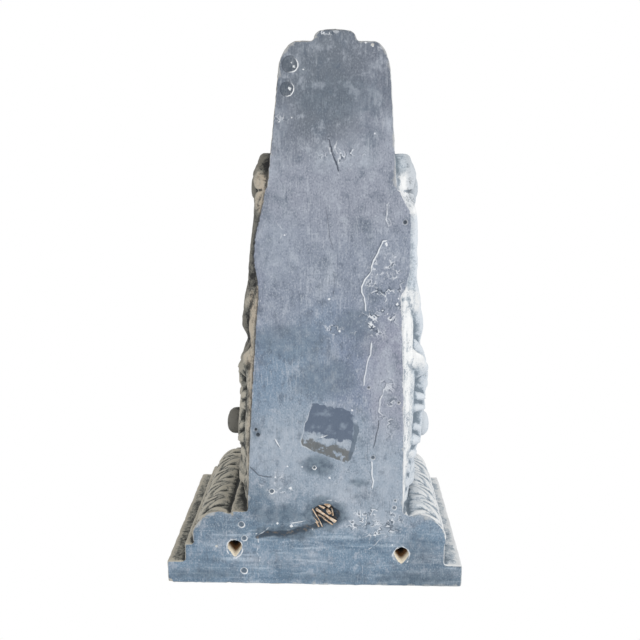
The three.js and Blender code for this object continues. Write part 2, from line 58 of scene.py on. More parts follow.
# Cap, from the top down. OVOLO_SWING is what the leaf-cut moulding turns through from top to foot, in
# degrees, and CORNER_TURN how much of a full arc the leaves are counted along round each corner
ABACUS_HEIGHT = 28
FASCIA_HEIGHT = 22
FASCIA_SETBACK = 21
OVOLO_HEIGHT = 39
OVOLO_SETBACK = 29
OVOLO_REACH = 35
OVOLO_OFFSET = 5
LEAF_PITCH = 40.6
LEAF_RELIEF = 7
VEIN_RELIEF = 1.1
OVOLO_SWING = 86
CORNER_TURN = 0.57
BED_SETBACK = 6
BED_DROP = 2

# Body
BODY_HALF_WIDTH = 88
FOOT_HALF_WIDTH = 54
BODY_OFFSET = 12
FOOT_OFFSET = 19.5
FRONT_RECESS = 8

# Volutes
VOLUTE_DEPTH = 112
VOLUTE_DROP = 71
VOLUTE_RADIUS = 80
BOSS_RADIUS = 17
BOSS_RISE = 39
CURL_RADIUS = 43
CURL_STANDOFF = 3
CURL_HEIGHT = 158
CURL_BOSS_RADIUS = 13
CURL_BOSS_RISE = 24

# Side scroll
BAND_RISE = 21
CHANNEL_RISE = 15
BAND_EDGE_RISE = 7
SPANDREL_RISE = 11
SPANDREL_BACK = 3
WALL_CLEARANCE = 0.3

# Foot
FOOT_DEPTH = 22
FOOT_LOBE_HALF_WIDTH = 22
FOOT_LOBE_LENGTH = 11

# Hanging holes
HOLE_RADIUS = 7.5
HOLE_POINT = 13
HOLE_LENGTH = 34
HOLE_SLANT = math.radians(28)
HOLES = [(-1, 79, -3), (1, 70.5, 3)]

# Size of the grid that the forms are merged on, the most triangles the casting may have, and how deep
# a form is sunk into what it stands on
GRAIN = 1.3
MOST_TRIANGLES = 188000
SINK = 8

ABACUS_BASE = CAP_TOP - ABACUS_HEIGHT
FASCIA_BASE = ABACUS_BASE - FASCIA_HEIGHT
BODY_TOP = FASCIA_BASE - OVOLO_HEIGHT
FOOT_SHOULDER = FOOT_TIP + FOOT_LOBE_LENGTH
VOLUTE = np.array([VOLUTE_DEPTH, BODY_TOP - VOLUTE_DROP])
CURL = np.array([CURL_RADIUS + CURL_STANDOFF, FOOT_TIP + CURL_HEIGHT])


def lerp(a, b, t):
    return a + (b - a) * t


def smoothstep(low, high, value):
    t = np.clip((value - low) / (high - low), 0, 1)
    return t * t * (3 - 2 * t)


def xyz(x, y, z):
    """Points from their coordinates, each a number or an array."""
    return np.stack(np.broadcast_arrays(x, y, z), -1)


def noise(points, size, seed):
    """Smooth noise from -1 to 1 at an array of points, with lumps of about the given size."""
    at = points / size + seed * 13.37
    cell = np.floor(at).astype(np.int64)
    inside = at - cell
    inside = inside * inside * (3 - 2 * inside)
    total = np.zeros(len(points))
    for corner in itertools.product((0, 1), repeat=3):
        near = cell + corner
        code = near[:, 0] * 73856093 ^ near[:, 1] * 19349663 ^ near[:, 2] * 83492791
        code = ((code ^ (code >> 13)) * 1274126177) & 0x7FFFFFFF
        code = ((code ^ (code >> 16)) * 668265263) & 0x7FFFFFFF
        share = np.prod(np.where(corner, inside, 1 - inside), axis=1)
        total += share * (code / 0x3FFFFFFF - 1)
    return total


# The casting's surfaces, as functions of where a point lies on them


def half_width(z):
    down = np.clip((BODY_TOP - z) / (BODY_TOP - FOOT_SHOULDER), 0, 1)
    return BODY_HALF_WIDTH - (BODY_HALF_WIDTH - FOOT_HALF_WIDTH) * down**1.5


def middle(z):
    return lerp(BODY_OFFSET, FOOT_OFFSET, (BODY_TOP - z) / (BODY_TOP - FOOT_TIP))


def spiral(centre, radius, start, angle):
    """Points on a spiral whose radius halves in each turn, as (depth, z)."""
    angle = np.asarray(angle, float)
    r = radius * 0.5 ** ((angle - start) / 360)
    turn = np.radians(angle)
    return centre + r[..., None] * np.stack([np.cos(turn), np.sin(turn)], -1)


def on_volute(angle):
    return spiral(VOLUTE, VOLUTE_RADIUS, 0, angle)


def on_curl(angle):
    return spiral(CURL, CURL_RADIUS, 180, angle)


def bezier(controls, t):
    """Points on a curve of two, three or four control points."""
    t = np.asarray(t, float)[..., None]
    level = [np.asarray(c, float) for c in controls]
    while len(level) > 1:
        level = [lerp(a, b, t) for a, b in zip(level, level[1:])]
    return level[0]


# Angles on the spirals, in degrees, where the band's front and back edges leave the volute, where the
# front one meets the curl, and where the curl's underside is
VOLUTE_LEAVES = -20
BACK_LEAVES = 228
MEETS_CURL = 420
CURL_BELOW = 270


def scroll_front(t):
    start, end = on_volute(VOLUTE_LEAVES), on_curl(MEETS_CURL)
    drop = start[1] - end[1]
    slope = math.radians(VOLUTE_LEAVES)
    leave = start + 0.46 * drop * np.array([math.sin(slope), -math.cos(slope)])
    return bezier([start, leave, end + drop * np.array([0.075, 0.37]), end], t)


def scroll_back(t):
    start = on_volute(BACK_LEAVES)
    end = np.array([-1, lerp(CURL[1], start[1], 0.33)])
    drop = start[1] - end[1]
    return bezier([start, [start[0] * 0.5, start[1] - 0.36 * drop], [end[0], end[1] + 0.26 * drop], end], t)


def front_outline():
    """The body's front outline from the cap down to the underside of the small volute, as (depth, z)."""
    swing = np.radians(np.linspace(90, VOLUTE_LEAVES + 2, 40))
    top = on_volute(90)[1] - VOLUTE[1]
    height = np.where(swing > 0, top, VOLUTE_RADIUS) * np.sin(swing)
    arc = VOLUTE + np.stack([VOLUTE_RADIUS * np.cos(swing), height], -1)
    corner = [[VOLUTE[0] + 20, BODY_TOP + SINK]]
    under = on_curl(np.append(np.arange(412, CURL_BELOW, -6), CURL_BELOW))
    return np.concatenate([corner, arc, scroll_front(np.linspace(0, 1, 60)), under])


FRONT = front_outline()
FRONT_LENGTH = np.concatenate([[0], np.cumsum(np.linalg.norm(np.diff(FRONT, axis=0), axis=1))])
FRONT_NORMAL = np.gradient(FRONT, FRONT_LENGTH, axis=0)[:, ::-1] * [-1, 1]
FRONT_NORMAL /= np.linalg.norm(FRONT_NORMAL, axis=1)[:, None]


def on_front(along, across, rise):
    depth, z, out, up = (np.interp(along, FRONT_LENGTH, column) for column in (*FRONT.T, *FRONT_NORMAL.T))
    z = z + up * (rise - FRONT_RECESS)
    return xyz(middle(z) + across, -(depth + out * (rise - FRONT_RECESS)), z)


# How fully the carving stands out next to the wall, down the body from its top to the shoulder:
# the share of the way down, then the share of the full relief on the -X side and on the +X side
RELIEF_BY_WALL = np.array(
    [
        (0, 0.15, 0.2), (0.08, 0.25, 0.38), (0.13, 0.48, 0.68), (0.16, 0.66, 0.9),
        (0.25, 0.64, 1.12), (0.27, 0.58, 1.15), (0.29, 0.74, 1.24), (0.325, 0.8, 1.24),
        (0.355, 0.64, 1.14), (0.38, 0.48, 1.1), (0.42, 0.86, 1.22), (0.47, 0.8, 1.08),
        (0.53, 0.66, 0.9), (0.645, 0.64, 0.97), (0.73, 0.85, 1.08), (0.8, 0.48, 0.75),
    ]
)
RELIEF_FULL_FROM = 20
RELIEF_FULL_AT = 95

# Down the same way, where the carving runs flush into the wall, on the -X side and on the +X side
FLUSH_WITH_WALL = [(0.5, 0.58, 0.6, 0.71), (0.44, 0.56, 0.655, 0.715)]
LEAST_FLUSH = 0.12
TAPER_DEPTH = 14


def relief_share(side, depth, z):
    way_down = (BODY_TOP - z) / (BODY_TOP - FOOT_SHOULDER)
    down = np.clip(way_down, 0, 0.8)
    at = RELIEF_BY_WALL[:, 0]
    byside = RELIEF_BY_WALL[:, 1 if side < 0 else 2]
    last = np.clip(np.searchsorted(at, down), 1, len(at) - 1)
    share = smoothstep(at[last - 1], at[last], down)
    by_wall = lerp(byside[last - 1], byside[last], share)
    start, full, wane, end = FLUSH_WITH_WALL[0 if side < 0 else 1]
    flush = smoothstep(start, full, way_down) * (1 - smoothstep(wane, end, way_down))
    taper = lerp(lerp(LEAST_FLUSH, 1, flush), 1, smoothstep(0, TAPER_DEPTH, depth))
    return taper * lerp(by_wall, 1, smoothstep(RELIEF_FULL_FROM, RELIEF_FULL_AT, depth))


def on_side(side):
    """The side's own surface: a depth, a height and how far a point stands out from the body."""

    def place(depth, z, rise):
        depth = np.maximum(depth, WALL_CLEARANCE)
        out = np.where(rise > 0, rise * relief_share(side, depth, z), rise)
        return xyz(middle(z) + side * (half_width(z) + out), -depth, z)

    return place


def foot_depth(z):
    top = on_curl(CURL_BELOW)[1]
    return lerp(CURL[0], FOOT_DEPTH, np.clip((top - z) / (top - FOOT_TIP), 0, 1) ** 0.8)


def on_foot(down, across, rise):
    return xyz(middle(-down) + across, -(foot_depth(-down) + rise), -down)


# Closed forms, which are merged into one casting


class Forms:
    """Closed solids that overlap, as one list of points and faces."""

    def __init__(self):
        self.points = []
        self.faces = []
        self.count = 0

    def add(self, points, faces):
        self.points.append(points)
        self.faces.append(faces + self.count)
        self.count += len(points)

    def between(self, outer, inner):
        """Adds the solid between two grids of points."""
        rows, columns = outer.shape[:2]
        at = np.arange(rows * columns).reshape(rows, columns)
        far = at + rows * columns

        def quads(a, b, c, d):
            return np.stack([q.ravel() for q in (a, b, c, d)], -1)

        faces = [
            quads(at[:-1, :-1], at[1:, :-1], at[1:, 1:], at[:-1, 1:]),
            quads(far[:-1, :-1], far[:-1, 1:], far[1:, 1:], far[1:, :-1]),
            quads(at[:-1, 0], far[:-1, 0], far[1:, 0], at[1:, 0]),
            quads(at[:-1, -1], at[1:, -1], far[1:, -1], far[:-1, -1]),
            quads(at[0, :-1], at[0, 1:], far[0, 1:], far[0, :-1]),
            quads(at[-1, :-1], far[-1, :-1], far[-1, 1:], at[-1, 1:]),
        ]
        self.add(np.concatenate([outer.reshape(-1, 3), inner.reshape(-1, 3)]), np.concatenate(faces))

    def standing(self, place, depth, z, rise, base=-SINK):
        """Adds what stands on a surface, from a base to a rise, at each place of a grid."""
        self.between(place(depth, z, rise), place(depth, z, base))

    def mesh(self, name):
        mesh = bpy.data.meshes.new(name)
        mesh.from_pydata(np.concatenate(self.points), [], np.concatenate(self.faces).tolist())
        mesh.update()
        return mesh


def ribbon(forms, place, rows, edge_a, edge_b, section, sink=SINK, ends=None):
    """A ribbon between two edges on a side. section gives the rise at each share of its width."""
    t = np.linspace(0, 1, rows)
    a, b = edge_a(t), edge_b(t)
    sunk = np.ones(rows)
    if ends is not None:
        a = np.concatenate([[lerp(a[0], ends[0], 0.3)], a, [lerp(a[-1], ends[1], 0.3)]])
        b = np.concatenate([[lerp(b[0], ends[0], 0.3)], b, [lerp(b[-1], ends[1], 0.3)]])
        sunk = np.concatenate([[0.5], sunk, [0.5]])
    share = np.linspace(0, 1, 33)
    at = lerp(a[:, None], b[:, None], share[:, None])
    forms.standing(place, at[..., 0], at[..., 1], section(share) * sunk[:, None], -sink)


def bead(share, low, high):
    """A round bead between two shares: 0 outside it and 1 at its crown."""
    t = np.clip((share - low) / (high - low), 0, 1)
    return np.sin(np.pi * t) ** 0.6


def band_section(share):
    hollow = CHANNEL_RISE - 1.5 * np.sin(np.pi * np.clip((share - 0.2) / 0.56, 0, 1))
    crown = (BAND_RISE - CHANNEL_RISE) * np.maximum(bead(share, -0.06, 0.22), bead(share, 0.74, 1.04))
    edge = lerp(BAND_EDGE_RISE, CHANNEL_RISE, smoothstep(1.0, 0.9, share))
    fade = smoothstep(1.0, 0.93, share) * (0.55 + 0.45 * smoothstep(0, 0.05, share))
    return np.minimum(hollow, edge) + crown * fade


def volute_section(turn):
    """The rise a number of turns in from a spiral's edge: a round fillet, then a hollow channel."""
    share = turn % 1
    hollow = CHANNEL_RISE - 1.8 * np.sin(np.pi * np.clip((share - 0.32) / 0.68, 0, 1)) ** 0.8
    return hollow + (BAND_RISE - CHANNEL_RISE) * bead(share, -0.02, 0.36) + 0.8 * np.floor(turn)


def volute(forms, place, centre, radius, start, begin):
    angle = np.linspace(begin, begin + 360, 181)[:, None]
    rim = radius * 0.5 ** ((angle - start) / 360)
    r = rim * (1 - np.linspace(0, 0.96, 70))
    turn = np.radians(angle)
    depth = centre[0] + r * np.cos(turn)
    z = centre[1] + r * np.sin(turn)
    forms.standing(place, depth, z, volute_section(np.log2(rim / r)), 1 - SINK)


def boss(forms, place, centre, radius, rise):
    """A round eye with a softened rim and a shallow dimple."""
    share = np.linspace(1, 0.02, 18)
    angle = np.linspace(0, 2 * np.pi, 49)[:, None]
    dome = lerp(lerp(CHANNEL_RISE, rise, 0.55), rise, np.sqrt(np.maximum(0, 1 - share**2.4)))
    depth = centre[0] + radius * share * np.cos(angle)
    z = centre[1] + radius * share * np.sin(angle)
    forms.standing(place, depth, z, dome)


def lobe(forms, place, at, heading, length, root, spread, leaflets, rise, curl=0.0):
    """One lobe of an acanthus leaf: crowned leaflets that spread from a root, each with a fine vein."""
    off = np.linspace(-1, 1, leaflets * 12 + 1)[:, None]
    share = np.concatenate([np.linspace(0, 0.9, 16), [0.95, 0.985, 1.0]])
    across = math.radians(heading + 90)
    angle = np.radians(heading + spread * off)
    phase = (off + 1) / 2 * leaflets
    crest = np.sin(np.pi * (phase % 1)) ** 0.7
    reach = share * length * (1 - 0.25 * off**2) * (0.84 + 0.16 * crest)
    swell = np.interp(share, [0, 0.2, 0.45, 0.75, 0.93, 1], [0.45, 0.8, 1, 0.86, 0.55, 0.15])
    groove = lerp(0.68, 0.3, share)
    vein = 0.1 * np.exp(-(((phase % 1) - 0.5) / 0.09) ** 2) * np.sin(np.pi * share)
    lift = curl * share**2
    height = lift + rise * (swell * lerp(groove, 1, crest) - vein)
    x = at[0] + root * off * math.cos(across) + reach * np.cos(angle)
    y = at[1] + root * off * math.sin(across) + reach * np.sin(angle)
    forms.standing(place, x, y, height, lift - SINK)


def leaf(forms, place, axis, bearing, pairs, tip, rise, rib_width):
    """Pairs of lobes along an axis, a lobe at its tip, and a grooved rib down its middle."""
    for along, turn, length, shorter, root, spread, leaflets in pairs:
        for hand, reach in ((-1, shorter), (1, length)):
            heading = bearing(along) + hand * turn
            lobe(forms, place, axis(along), heading, reach, root, spread, leaflets, rise)
    along, length, root, spread, leaflets, curl = tip
    lobe(forms, place, axis(along), bearing(along), length, root, spread, leaflets, rise, curl)
    share = np.linspace(0, along + 0.05, 50)
    off = np.linspace(-1, 1, 21)
    centre = np.stack([axis(s) for s in share])
    turn = np.radians([bearing(s) + 90 for s in share])
    width = rib_width * lerp(1, 0.4, share)
    x = centre[:, :1] + (width * np.cos(turn))[:, None] * off
    y = centre[:, 1:] + (width * np.sin(turn))[:, None] * off
    crown = 0.5 + 0.45 * np.maximum(bead(off, -1, 0.02), bead(off, -0.02, 1))
    forms.standing(place, x, y, rise * crown)


def core(forms):
    depth, z = FRONT.T[..., None]
    x = middle(z) + half_width(z) * np.linspace(-1, 1, 13)
    forms.between(xyz(x, FRONT_RECESS - depth, z), xyz(x, 0, z))


def foot_end(share):
    off = np.abs(share)
    lobe_share = FOOT_LOBE_HALF_WIDTH / FOOT_HALF_WIDTH
    middle_lobe = FOOT_SHOULDER - FOOT_LOBE_LENGTH * np.sqrt(np.maximum(0, 1 - (off / lobe_share) ** 4))
    corner = np.clip((off - 0.7) / 0.3, 0, 1)
    shoulder = FOOT_SHOULDER + 0.5 * FOOT_HALF_WIDTH * (1 - np.sqrt(1 - corner**2))
    return np.where(off < lobe_share, middle_lobe, shoulder)


def foot_slab(forms):
    share = np.sin(np.linspace(-1, 1, 121) * np.pi / 2)[:, None]
    z = lerp(on_curl(CURL_BELOW)[1] + 2 * SINK, foot_end(share), np.linspace(0, 1, 40))
    x = middle(z) + share * half_width(z)
    forms.between(xyz(x, -foot_depth(z), z), xyz(x, 0, z))


def spandrel(forms, place):
    top = BODY_TOP + SINK
    bottom = lerp(scroll_back(1)[1], scroll_back(0)[1], 0.2)
    ribbon(
        forms, place, 30,
        lambda t: np.stack([SPANDREL_BACK + 0 * t, lerp(top, bottom, t)], -1),
        lambda t: np.stack([lerp(VOLUTE[0], SPANDREL_BACK + 8, t), lerp(top, bottom, t)], -1),
        lambda share: SPANDREL_RISE * smoothstep(-0.06, 0.04, share),
        sink=SINK + 3,
    )


def band_back(t):
    wall = np.stack([-1 + 0 * t, lerp(scroll_back(1)[1], CURL[1], 4 * t - 3)], -1)
    return np.where((t < 0.75)[:, None], scroll_back(np.minimum(t / 0.75, 1)), wall)


def side_scroll(forms, side):
    place = on_side(side)
    start, end = scroll_back(0)[1], scroll_back(1)[1]
    controls = [
        [0.35 * VOLUTE[0], BODY_TOP + 4],
        [0.38 * VOLUTE[0], lerp(VOLUTE[1], start, 0.6)],
        [0.2 * VOLUTE[0], lerp(start, end, 0.62)],
    ]

    def bearing(share):
        way = bezier(controls, share + 0.01) - bezier(controls, share - 0.01)
        return math.degrees(math.atan2(way[1], way[0]))

    volute(forms, place, VOLUTE, VOLUTE_RADIUS, 0, VOLUTE_LEAVES - 10)
    volute(forms, place, CURL, CURL_RADIUS, 180, 180)
    ribbon(forms, place, 120, scroll_front, band_back, band_section, SINK + 1.5, [VOLUTE, CURL])
    boss(forms, place, VOLUTE, BOSS_RADIUS, BOSS_RISE)
    boss(forms, place, CURL, CURL_BOSS_RADIUS, CURL_BOSS_RISE)
    spandrel(forms, place)
    leaf(
        forms, place, lambda share: bezier(controls, share), bearing,
        pairs=[(0.13, 62, 50, 32, 15, 30, 3), (0.38, 58, 48, 30, 15, 30, 3), (0.62, 50, 38, 22, 13, 28, 3)],
        tip=(0.74, 50, 9, 30, 3, 0), rise=26, rib_width=8,
    )


def front_leaf(forms):
    start = FRONT_LENGTH[1]
    length = 0.8 * (FRONT_LENGTH[-1] - start)
    leaf(
        forms, on_front, lambda share: np.array([start + share * length, 0]), lambda share: 0,
        pairs=[
            (0.06, 58, 72, 72, 26, 30, 4),
            (0.22, 56, 74, 74, 26, 30, 4),
            (0.38, 52, 74, 74, 25, 30, 4),
            (0.53, 48, 68, 68, 23, 30, 4),
            (0.67, 42, 58, 58, 20, 30, 3),
        ],
        tip=(0.76, 88, 22, 26, 5, 26), rise=15, rib_width=11,
    )


def foot_leaf(forms):
    start = -(on_curl(CURL_BELOW)[1] + 0.5 * SINK)
    length = -FOOT_TIP - start
    leaf(
        forms, on_foot, lambda share: np.array([start + share * length, 0]), lambda share: 0,
        pairs=[(0.14, 58, 58, 58, 19, 28, 3), (0.48, 50, 52, 52, 18, 28, 3)],
        tip=(0.6, 0.39 * length, 18, 12, 3, 8), rise=9, rib_width=8,
    )


def cap_block(setback, low, high, offset=0.0):
    """A block of the cap that stands back from the abacus's edge on three sides."""
    half = CAP_WIDTH / 2 - setback
    x = np.linspace(-half, half, 60)[:, None] + offset
    y = np.linspace(setback - CAP_DEPTH, 0, 45)
    forms = Forms()
    forms.between(xyz(x, y, low), xyz(x, y, high))
    return forms


def leaf_moulding():
    """Rounded moulding cut with upright leaves, whose curved veins sweep out from each midrib."""
    setback = OVOLO_SETBACK + OVOLO_REACH
    half = CAP_WIDTH / 2 - setback
    depth = CAP_DEPTH - setback
    corner = math.pi / 2 * CORNER_TURN * OVOLO_REACH
    total = half + corner + depth
    along = np.linspace(-total, total, 520)[:, None]
    off = np.abs(along)
    hand = np.sign(along)
    foot_x = OVOLO_OFFSET + np.where(off <= half, along, hand * half)
    foot_y = np.where(off <= half + corner, depth, depth + half + corner - off)
    turn = np.clip((off - half) / corner, 0, 1) * math.pi / 2
    down = np.linspace(0, 1, 34)
    swing = np.radians(OVOLO_SWING) * down
    side = np.abs((along / LEAF_PITCH + 0.5) % 1 - 0.5) * 2
    crown = np.interp(side, [0, 0.06, 0.3, 0.72, 0.93, 1], [0.72, 0.86, 1, 0.86, 0.42, 0.0])
    fade = np.interp(down, [0, 0.12, 0.5, 0.85, 1], [0.35, 0.75, 1, 0.95, 0.55])
    veins = np.sin(2 * math.pi * (2.6 * down + 1.5 * side**0.7)) * smoothstep(0.04, 0.2, side)
    relief = LEAF_RELIEF * crown * fade + VEIN_RELIEF * veins * fade * smoothstep(1, 0.8, side)
    reach = (OVOLO_REACH + relief) * np.cos(swing)
    z = FASCIA_BASE - (OVOLO_HEIGHT + 0.6 * relief) * np.sin(swing)
    inner_z = lerp(FASCIA_BASE + SINK, BODY_TOP + BED_DROP, down)

    def place(out, z):
        return xyz(foot_x + out * hand * np.sin(turn), np.minimum(-(foot_y + out * np.cos(turn)), 0), z)

    forms = Forms()
    forms.between(place(reach, z), place(-SINK + 0 * reach, inner_z))
    return forms


def tube_faces(rings, count):
    """The faces of a closed tube of so many rings of so many points: its sides and its two ends."""
    corner = np.arange(rings * count).reshape(rings, count)
    onward = np.roll(corner, -1, axis=1)
    sides = np.stack([corner[:-1], onward[:-1], onward[1:], corner[1:]], -1).reshape(-1, 4)
    return [*sides.tolist(), corner[0, ::-1].tolist(), corner[-1].tolist()]


def hanging_hole(side, from_side, raised):
    """What is cut away for a hole: round below, drawn to a point above and slanting to the foot."""
    arc = np.radians(np.linspace(150, 390, 33))
    across, up = np.append(HOLE_RADIUS * np.array([np.cos(arc), np.sin(arc)]), [[0], [HOLE_POINT]], axis=1)
    inward = np.array([-4, 0, 8, 16, 24, HOLE_LENGTH])[:, None]
    share = np.clip(inward / HOLE_LENGTH, 0, 1)
    x = side * (CAP_WIDTH / 2 - from_side) + across * (1 - 0.15 * share)
    up = up * np.where(up > 0, 1 - 0.45 * share, 1)
    rings = xyz(x, -inward, raised + up - inward * math.tan(HOLE_SLANT))
    mesh = bpy.data.meshes.new("hanging_hole")
    mesh.from_pydata(rings.reshape(-1, 3), [], tube_faces(*rings.shape[:2]))
    return mesh


def evaluated(obj):
    """A new mesh of what the object's modifiers make, and the object's old data gone."""
    made = bpy.data.meshes.new_from_object(obj.evaluated_get(bpy.context.evaluated_depsgraph_get()))
    old = obj.data
    obj.modifiers.clear()
    obj.data = made
    bpy.data.meshes.remove(old)
    return made


def new_object(name, mesh):
    obj = bpy.data.objects.new(name, mesh)
    bpy.context.scene.collection.objects.link(obj)
    return obj


def outward(obj):
    """Turns the closed mesh's faces to face out."""
    work = bmesh.new()
    work.from_mesh(obj.data)
    bmesh.ops.remove_doubles(work, verts=work.verts, dist=1e-4)
    bmesh.ops.recalc_face_normals(work, faces=work.faces)
    work.to_mesh(obj.data)
    work.free()


def cut_holes(forms, name):
    """The forms as an object with both hanging holes cut into it."""
    obj = new_object(name, forms.mesh(name))
    outward(obj)
    for number, hole in enumerate(HOLES):
        cutter = new_object(f"cutter_{number}", hanging_hole(*hole))
        outward(cutter)
        cut = obj.modifiers.new("cut", "BOOLEAN")
        cut.operation = "DIFFERENCE"
        cut.solver = "EXACT"
        cut.object = cutter
        evaluated(obj)
        bpy.data.objects.remove(cutter)
    return obj


def casting():
    """Everything merged into one mesh, still in millimetres."""
    forms = Forms()
    core(forms)
    foot_slab(forms)
    for side in (-1, 1):
        side_scroll(forms, side)
    front_leaf(forms)
    foot_leaf(forms)
    body = new_object("acanthus_corbel", forms.mesh("acanthus_corbel"))
    outward(body)
    bed_setback = OVOLO_SETBACK + OVOLO_REACH + BED_SETBACK
    blocks = [
        cap_block(bed_setback, BODY_TOP - BED_DROP, ABACUS_BASE + 1, OVOLO_OFFSET),
        cap_block(FASCIA_SETBACK, FASCIA_BASE, ABACUS_BASE + 1),
        cap_block(0, ABACUS_BASE, CAP_TOP),
        leaf_moulding(),
    ]
    cap = [cut_holes(block, f"cap_{number}") for number, block in enumerate(blocks)]
    with bpy.context.temp_override(active_object=body, object=body, selected_editable_objects=[body, *cap]):
        bpy.ops.object.join()
    merge = body.modifiers.new("merge", "REMESH")
    merge.mode = "VOXEL"
    merge.voxel_size = GRAIN
    evaluated(body)
    return body


# Marks on the back, as places on it (across, up) in millimetres

# Craters left by bubbles: across, up, radius, depth of the dish, height of the rim, whiteness of the rim,
# which also scales the painted highlight on its lit side
CRATERS = [
    (-25, -532, 8.0, 1.2, 0.3, 0.9), (-28.5, -508, 7.0, 1.1, 0.3, 1.0), (94, -375, 2.9, 1.8, 0.2, 0.3),
    (-65, -145, 2.3, 2.6, 0.2, 0.2), (-62.5, -139, 2.8, 2.4, 0.2, 0.1), (-83, -31, 4.0, 1.0, 0.4, 0.8),
    (-80, -14, 3.6, 1.2, 0.5, 0.8), (-81, 27, 4.2, 1.2, 0.5, 1.0), (-48, -72, 3.4, 1.1, 0.5, 1.0),
    (0, -101, 2.6, 1.2, 0.4, 1.0), (91, -63, 2.2, 0.7, 0.3, 0.5), (90, -54, 2.8, 0.7, 0.3, 0.6),
    (59, -195, 2.2, 1.8, 0.3, 0.4), (92, -178, 2.2, 1.8, 0.3, 0.6), (65, -114, 2.8, 1.4, 0.3, 0.4),
    (-63, -371, 1.8, 1.0, 0.2, 0.5),
]

# White drops, bare nicks, and painted glints in the two largest craters: across, up, radius
DROPS_AND_GLINTS = [
    (-21.5, -530, 1.9), (-24.5, -534, 1.3), (-26, -509, 2.0), (-24, -504.5, 1.4), (-12, -527, 1.2),
    (-16, -525, 1.1), (75, -352, 2.0), (-30, -102, 1.5), (-22, -99, 1.3), (-14, -102, 1.2), (-44, -89, 1.4),
    (-27, -76, 2.0), (17, -89, 1.8), (-32, -361, 1.2), (15, -293, 1.7), (27, -258, 1.7), (-63, -371, 1.1),
    (-58, -290, 1.1), (61, -465, 1.4), (-37, -476, 1.4), (-42, -33, 1.6), (-26, -30, 2.2), (-2, -26, 1.6),
    (41, -169, 1.6), (89, -294, 1.4), (88, -288, 1.6), (81, -271, 1.3), (78, -277, 1.5), (39, -520, 1.2),
    (-38, -124, 1.4), (-76, -380, 1.1), (-164, 14, 1.6), (57, -550, 1.4), (50, -553, 1.3), (-66, -20, 1.3),
    (8, -138, 1.3), (60, -265, 1.6), (-24, -480, 1.2), (69, -20, 1.8), (89, -8, 1.4),
]

# Notches out of the back's edges: across, up, radius
NOTCHES = [
    (-99, 45, 4), (-167, 42, 4.5), (-160, 45, 3), (-112, -3, 3), (57, -551, 3), (-8, -566, 2.5),
    (73, -540, 3),
]

# Lines in the surface: their points, half width, height (a crack is below 0), and how white they are worn
LINES = [
    (
        [(74, -356), (70, -355), (69, -350), (64, -340), (60, -330), (59, -323), (53, -315), (50, -307)],
        0.9, 0.7, 1.0,
    ),
    ([(50, -307), (49, -301), (52, -294), (54, -288), (54, -281)], 0.8, 0.6, 0.9),
    ([(75, -394), (75, -384), (74, -378), (76, -371), (80, -372), (78, -378)], 0.7, 0.4, 0.7),
    ([(78, -334), (84, -339), (84, -334), (80, -332), (78, -334)], 0.8, 0.5, 0.7),
    ([(77, -322), (79, -316)], 0.8, 0.4, 0.7),
    ([(82, -326), (86, -324), (86, -318), (84, -316)], 0.8, 0.5, 0.7),
    ([(66, -320), (64, -311), (62, -307), (56, -308)], 0.7, 0.4, 0.5),
    ([(60, -301), (65, -303), (69, -303), (71, -299), (75, -297), (76, -293), (75, -291)], 0.7, 0.4, 0.6),
    ([(47, -296), (42, -295), (45, -292)], 0.7, 0.4, 0.5),
    ([(58, -267), (61, -265)], 1.0, 0.6, 0.9),
    ([(61, -245), (61, -233), (57, -225), (56, -215), (54, -207), (54, -198)], 0.8, 0.5, 0.8),
    ([(75, -193), (72, -182), (71, -167), (74, -164)], 0.8, 0.5, 0.7),
    ([(71, -156), (69, -143), (65, -126)], 0.9, -0.5, -0.5),
    ([(64, -109), (64, -95), (66, -87), (65, -79)], 0.9, 0.6, 0.9),
    ([(14, -458), (17, -448), (19, -440), (20, -437), (24, -427)], 0.9, -0.9, -0.9),
    ([(22, -456), (20, -450), (22, -446)], 0.7, 0.4, 0.7),
    ([(23, -437), (25, -431), (25, -426)], 0.7, 0.4, 0.6),
    ([(14, -452), (15, -447), (18, -443)], 0.7, 0.4, 0.6),
    ([(20, -322), (21, -308), (20, -296)], 0.8, -0.4, -0.3),
    ([(11, -387), (14, -370), (16, -356), (19, -346)], 0.7, -0.3, -0.35),
    ([(-42, -133), (-39, -126)], 1.0, 0.5, 1.0),
    ([(-72, -100), (-62, -91), (-48, -89)], 1.2, -0.5, -0.5),
    ([(8, -137), (12, -139)], 0.7, 0.3, 0.8),
    ([(-25, -34), (-13, -36)], 0.7, 0.4, 0.8),
    ([(-53, -27), (-60, -20), (-66, -16), (-63, -8), (-66, 3), (-62, 10), (-65, 20)], 0.8, 0.4, 0.6),
    ([(-64, -58), (-40, -60), (-20, -58)], 0.7, 0.1, 0.25),
    ([(-40, -373), (-33, -366), (-36, -358)], 0.8, 0.3, 0.4),
    ([(8, -58), (14, -63), (24, -61)], 0.7, 0.3, 0.5),
    ([(60, -2), (70, -8), (74, -14)], 0.7, 0.3, 0.5),
]

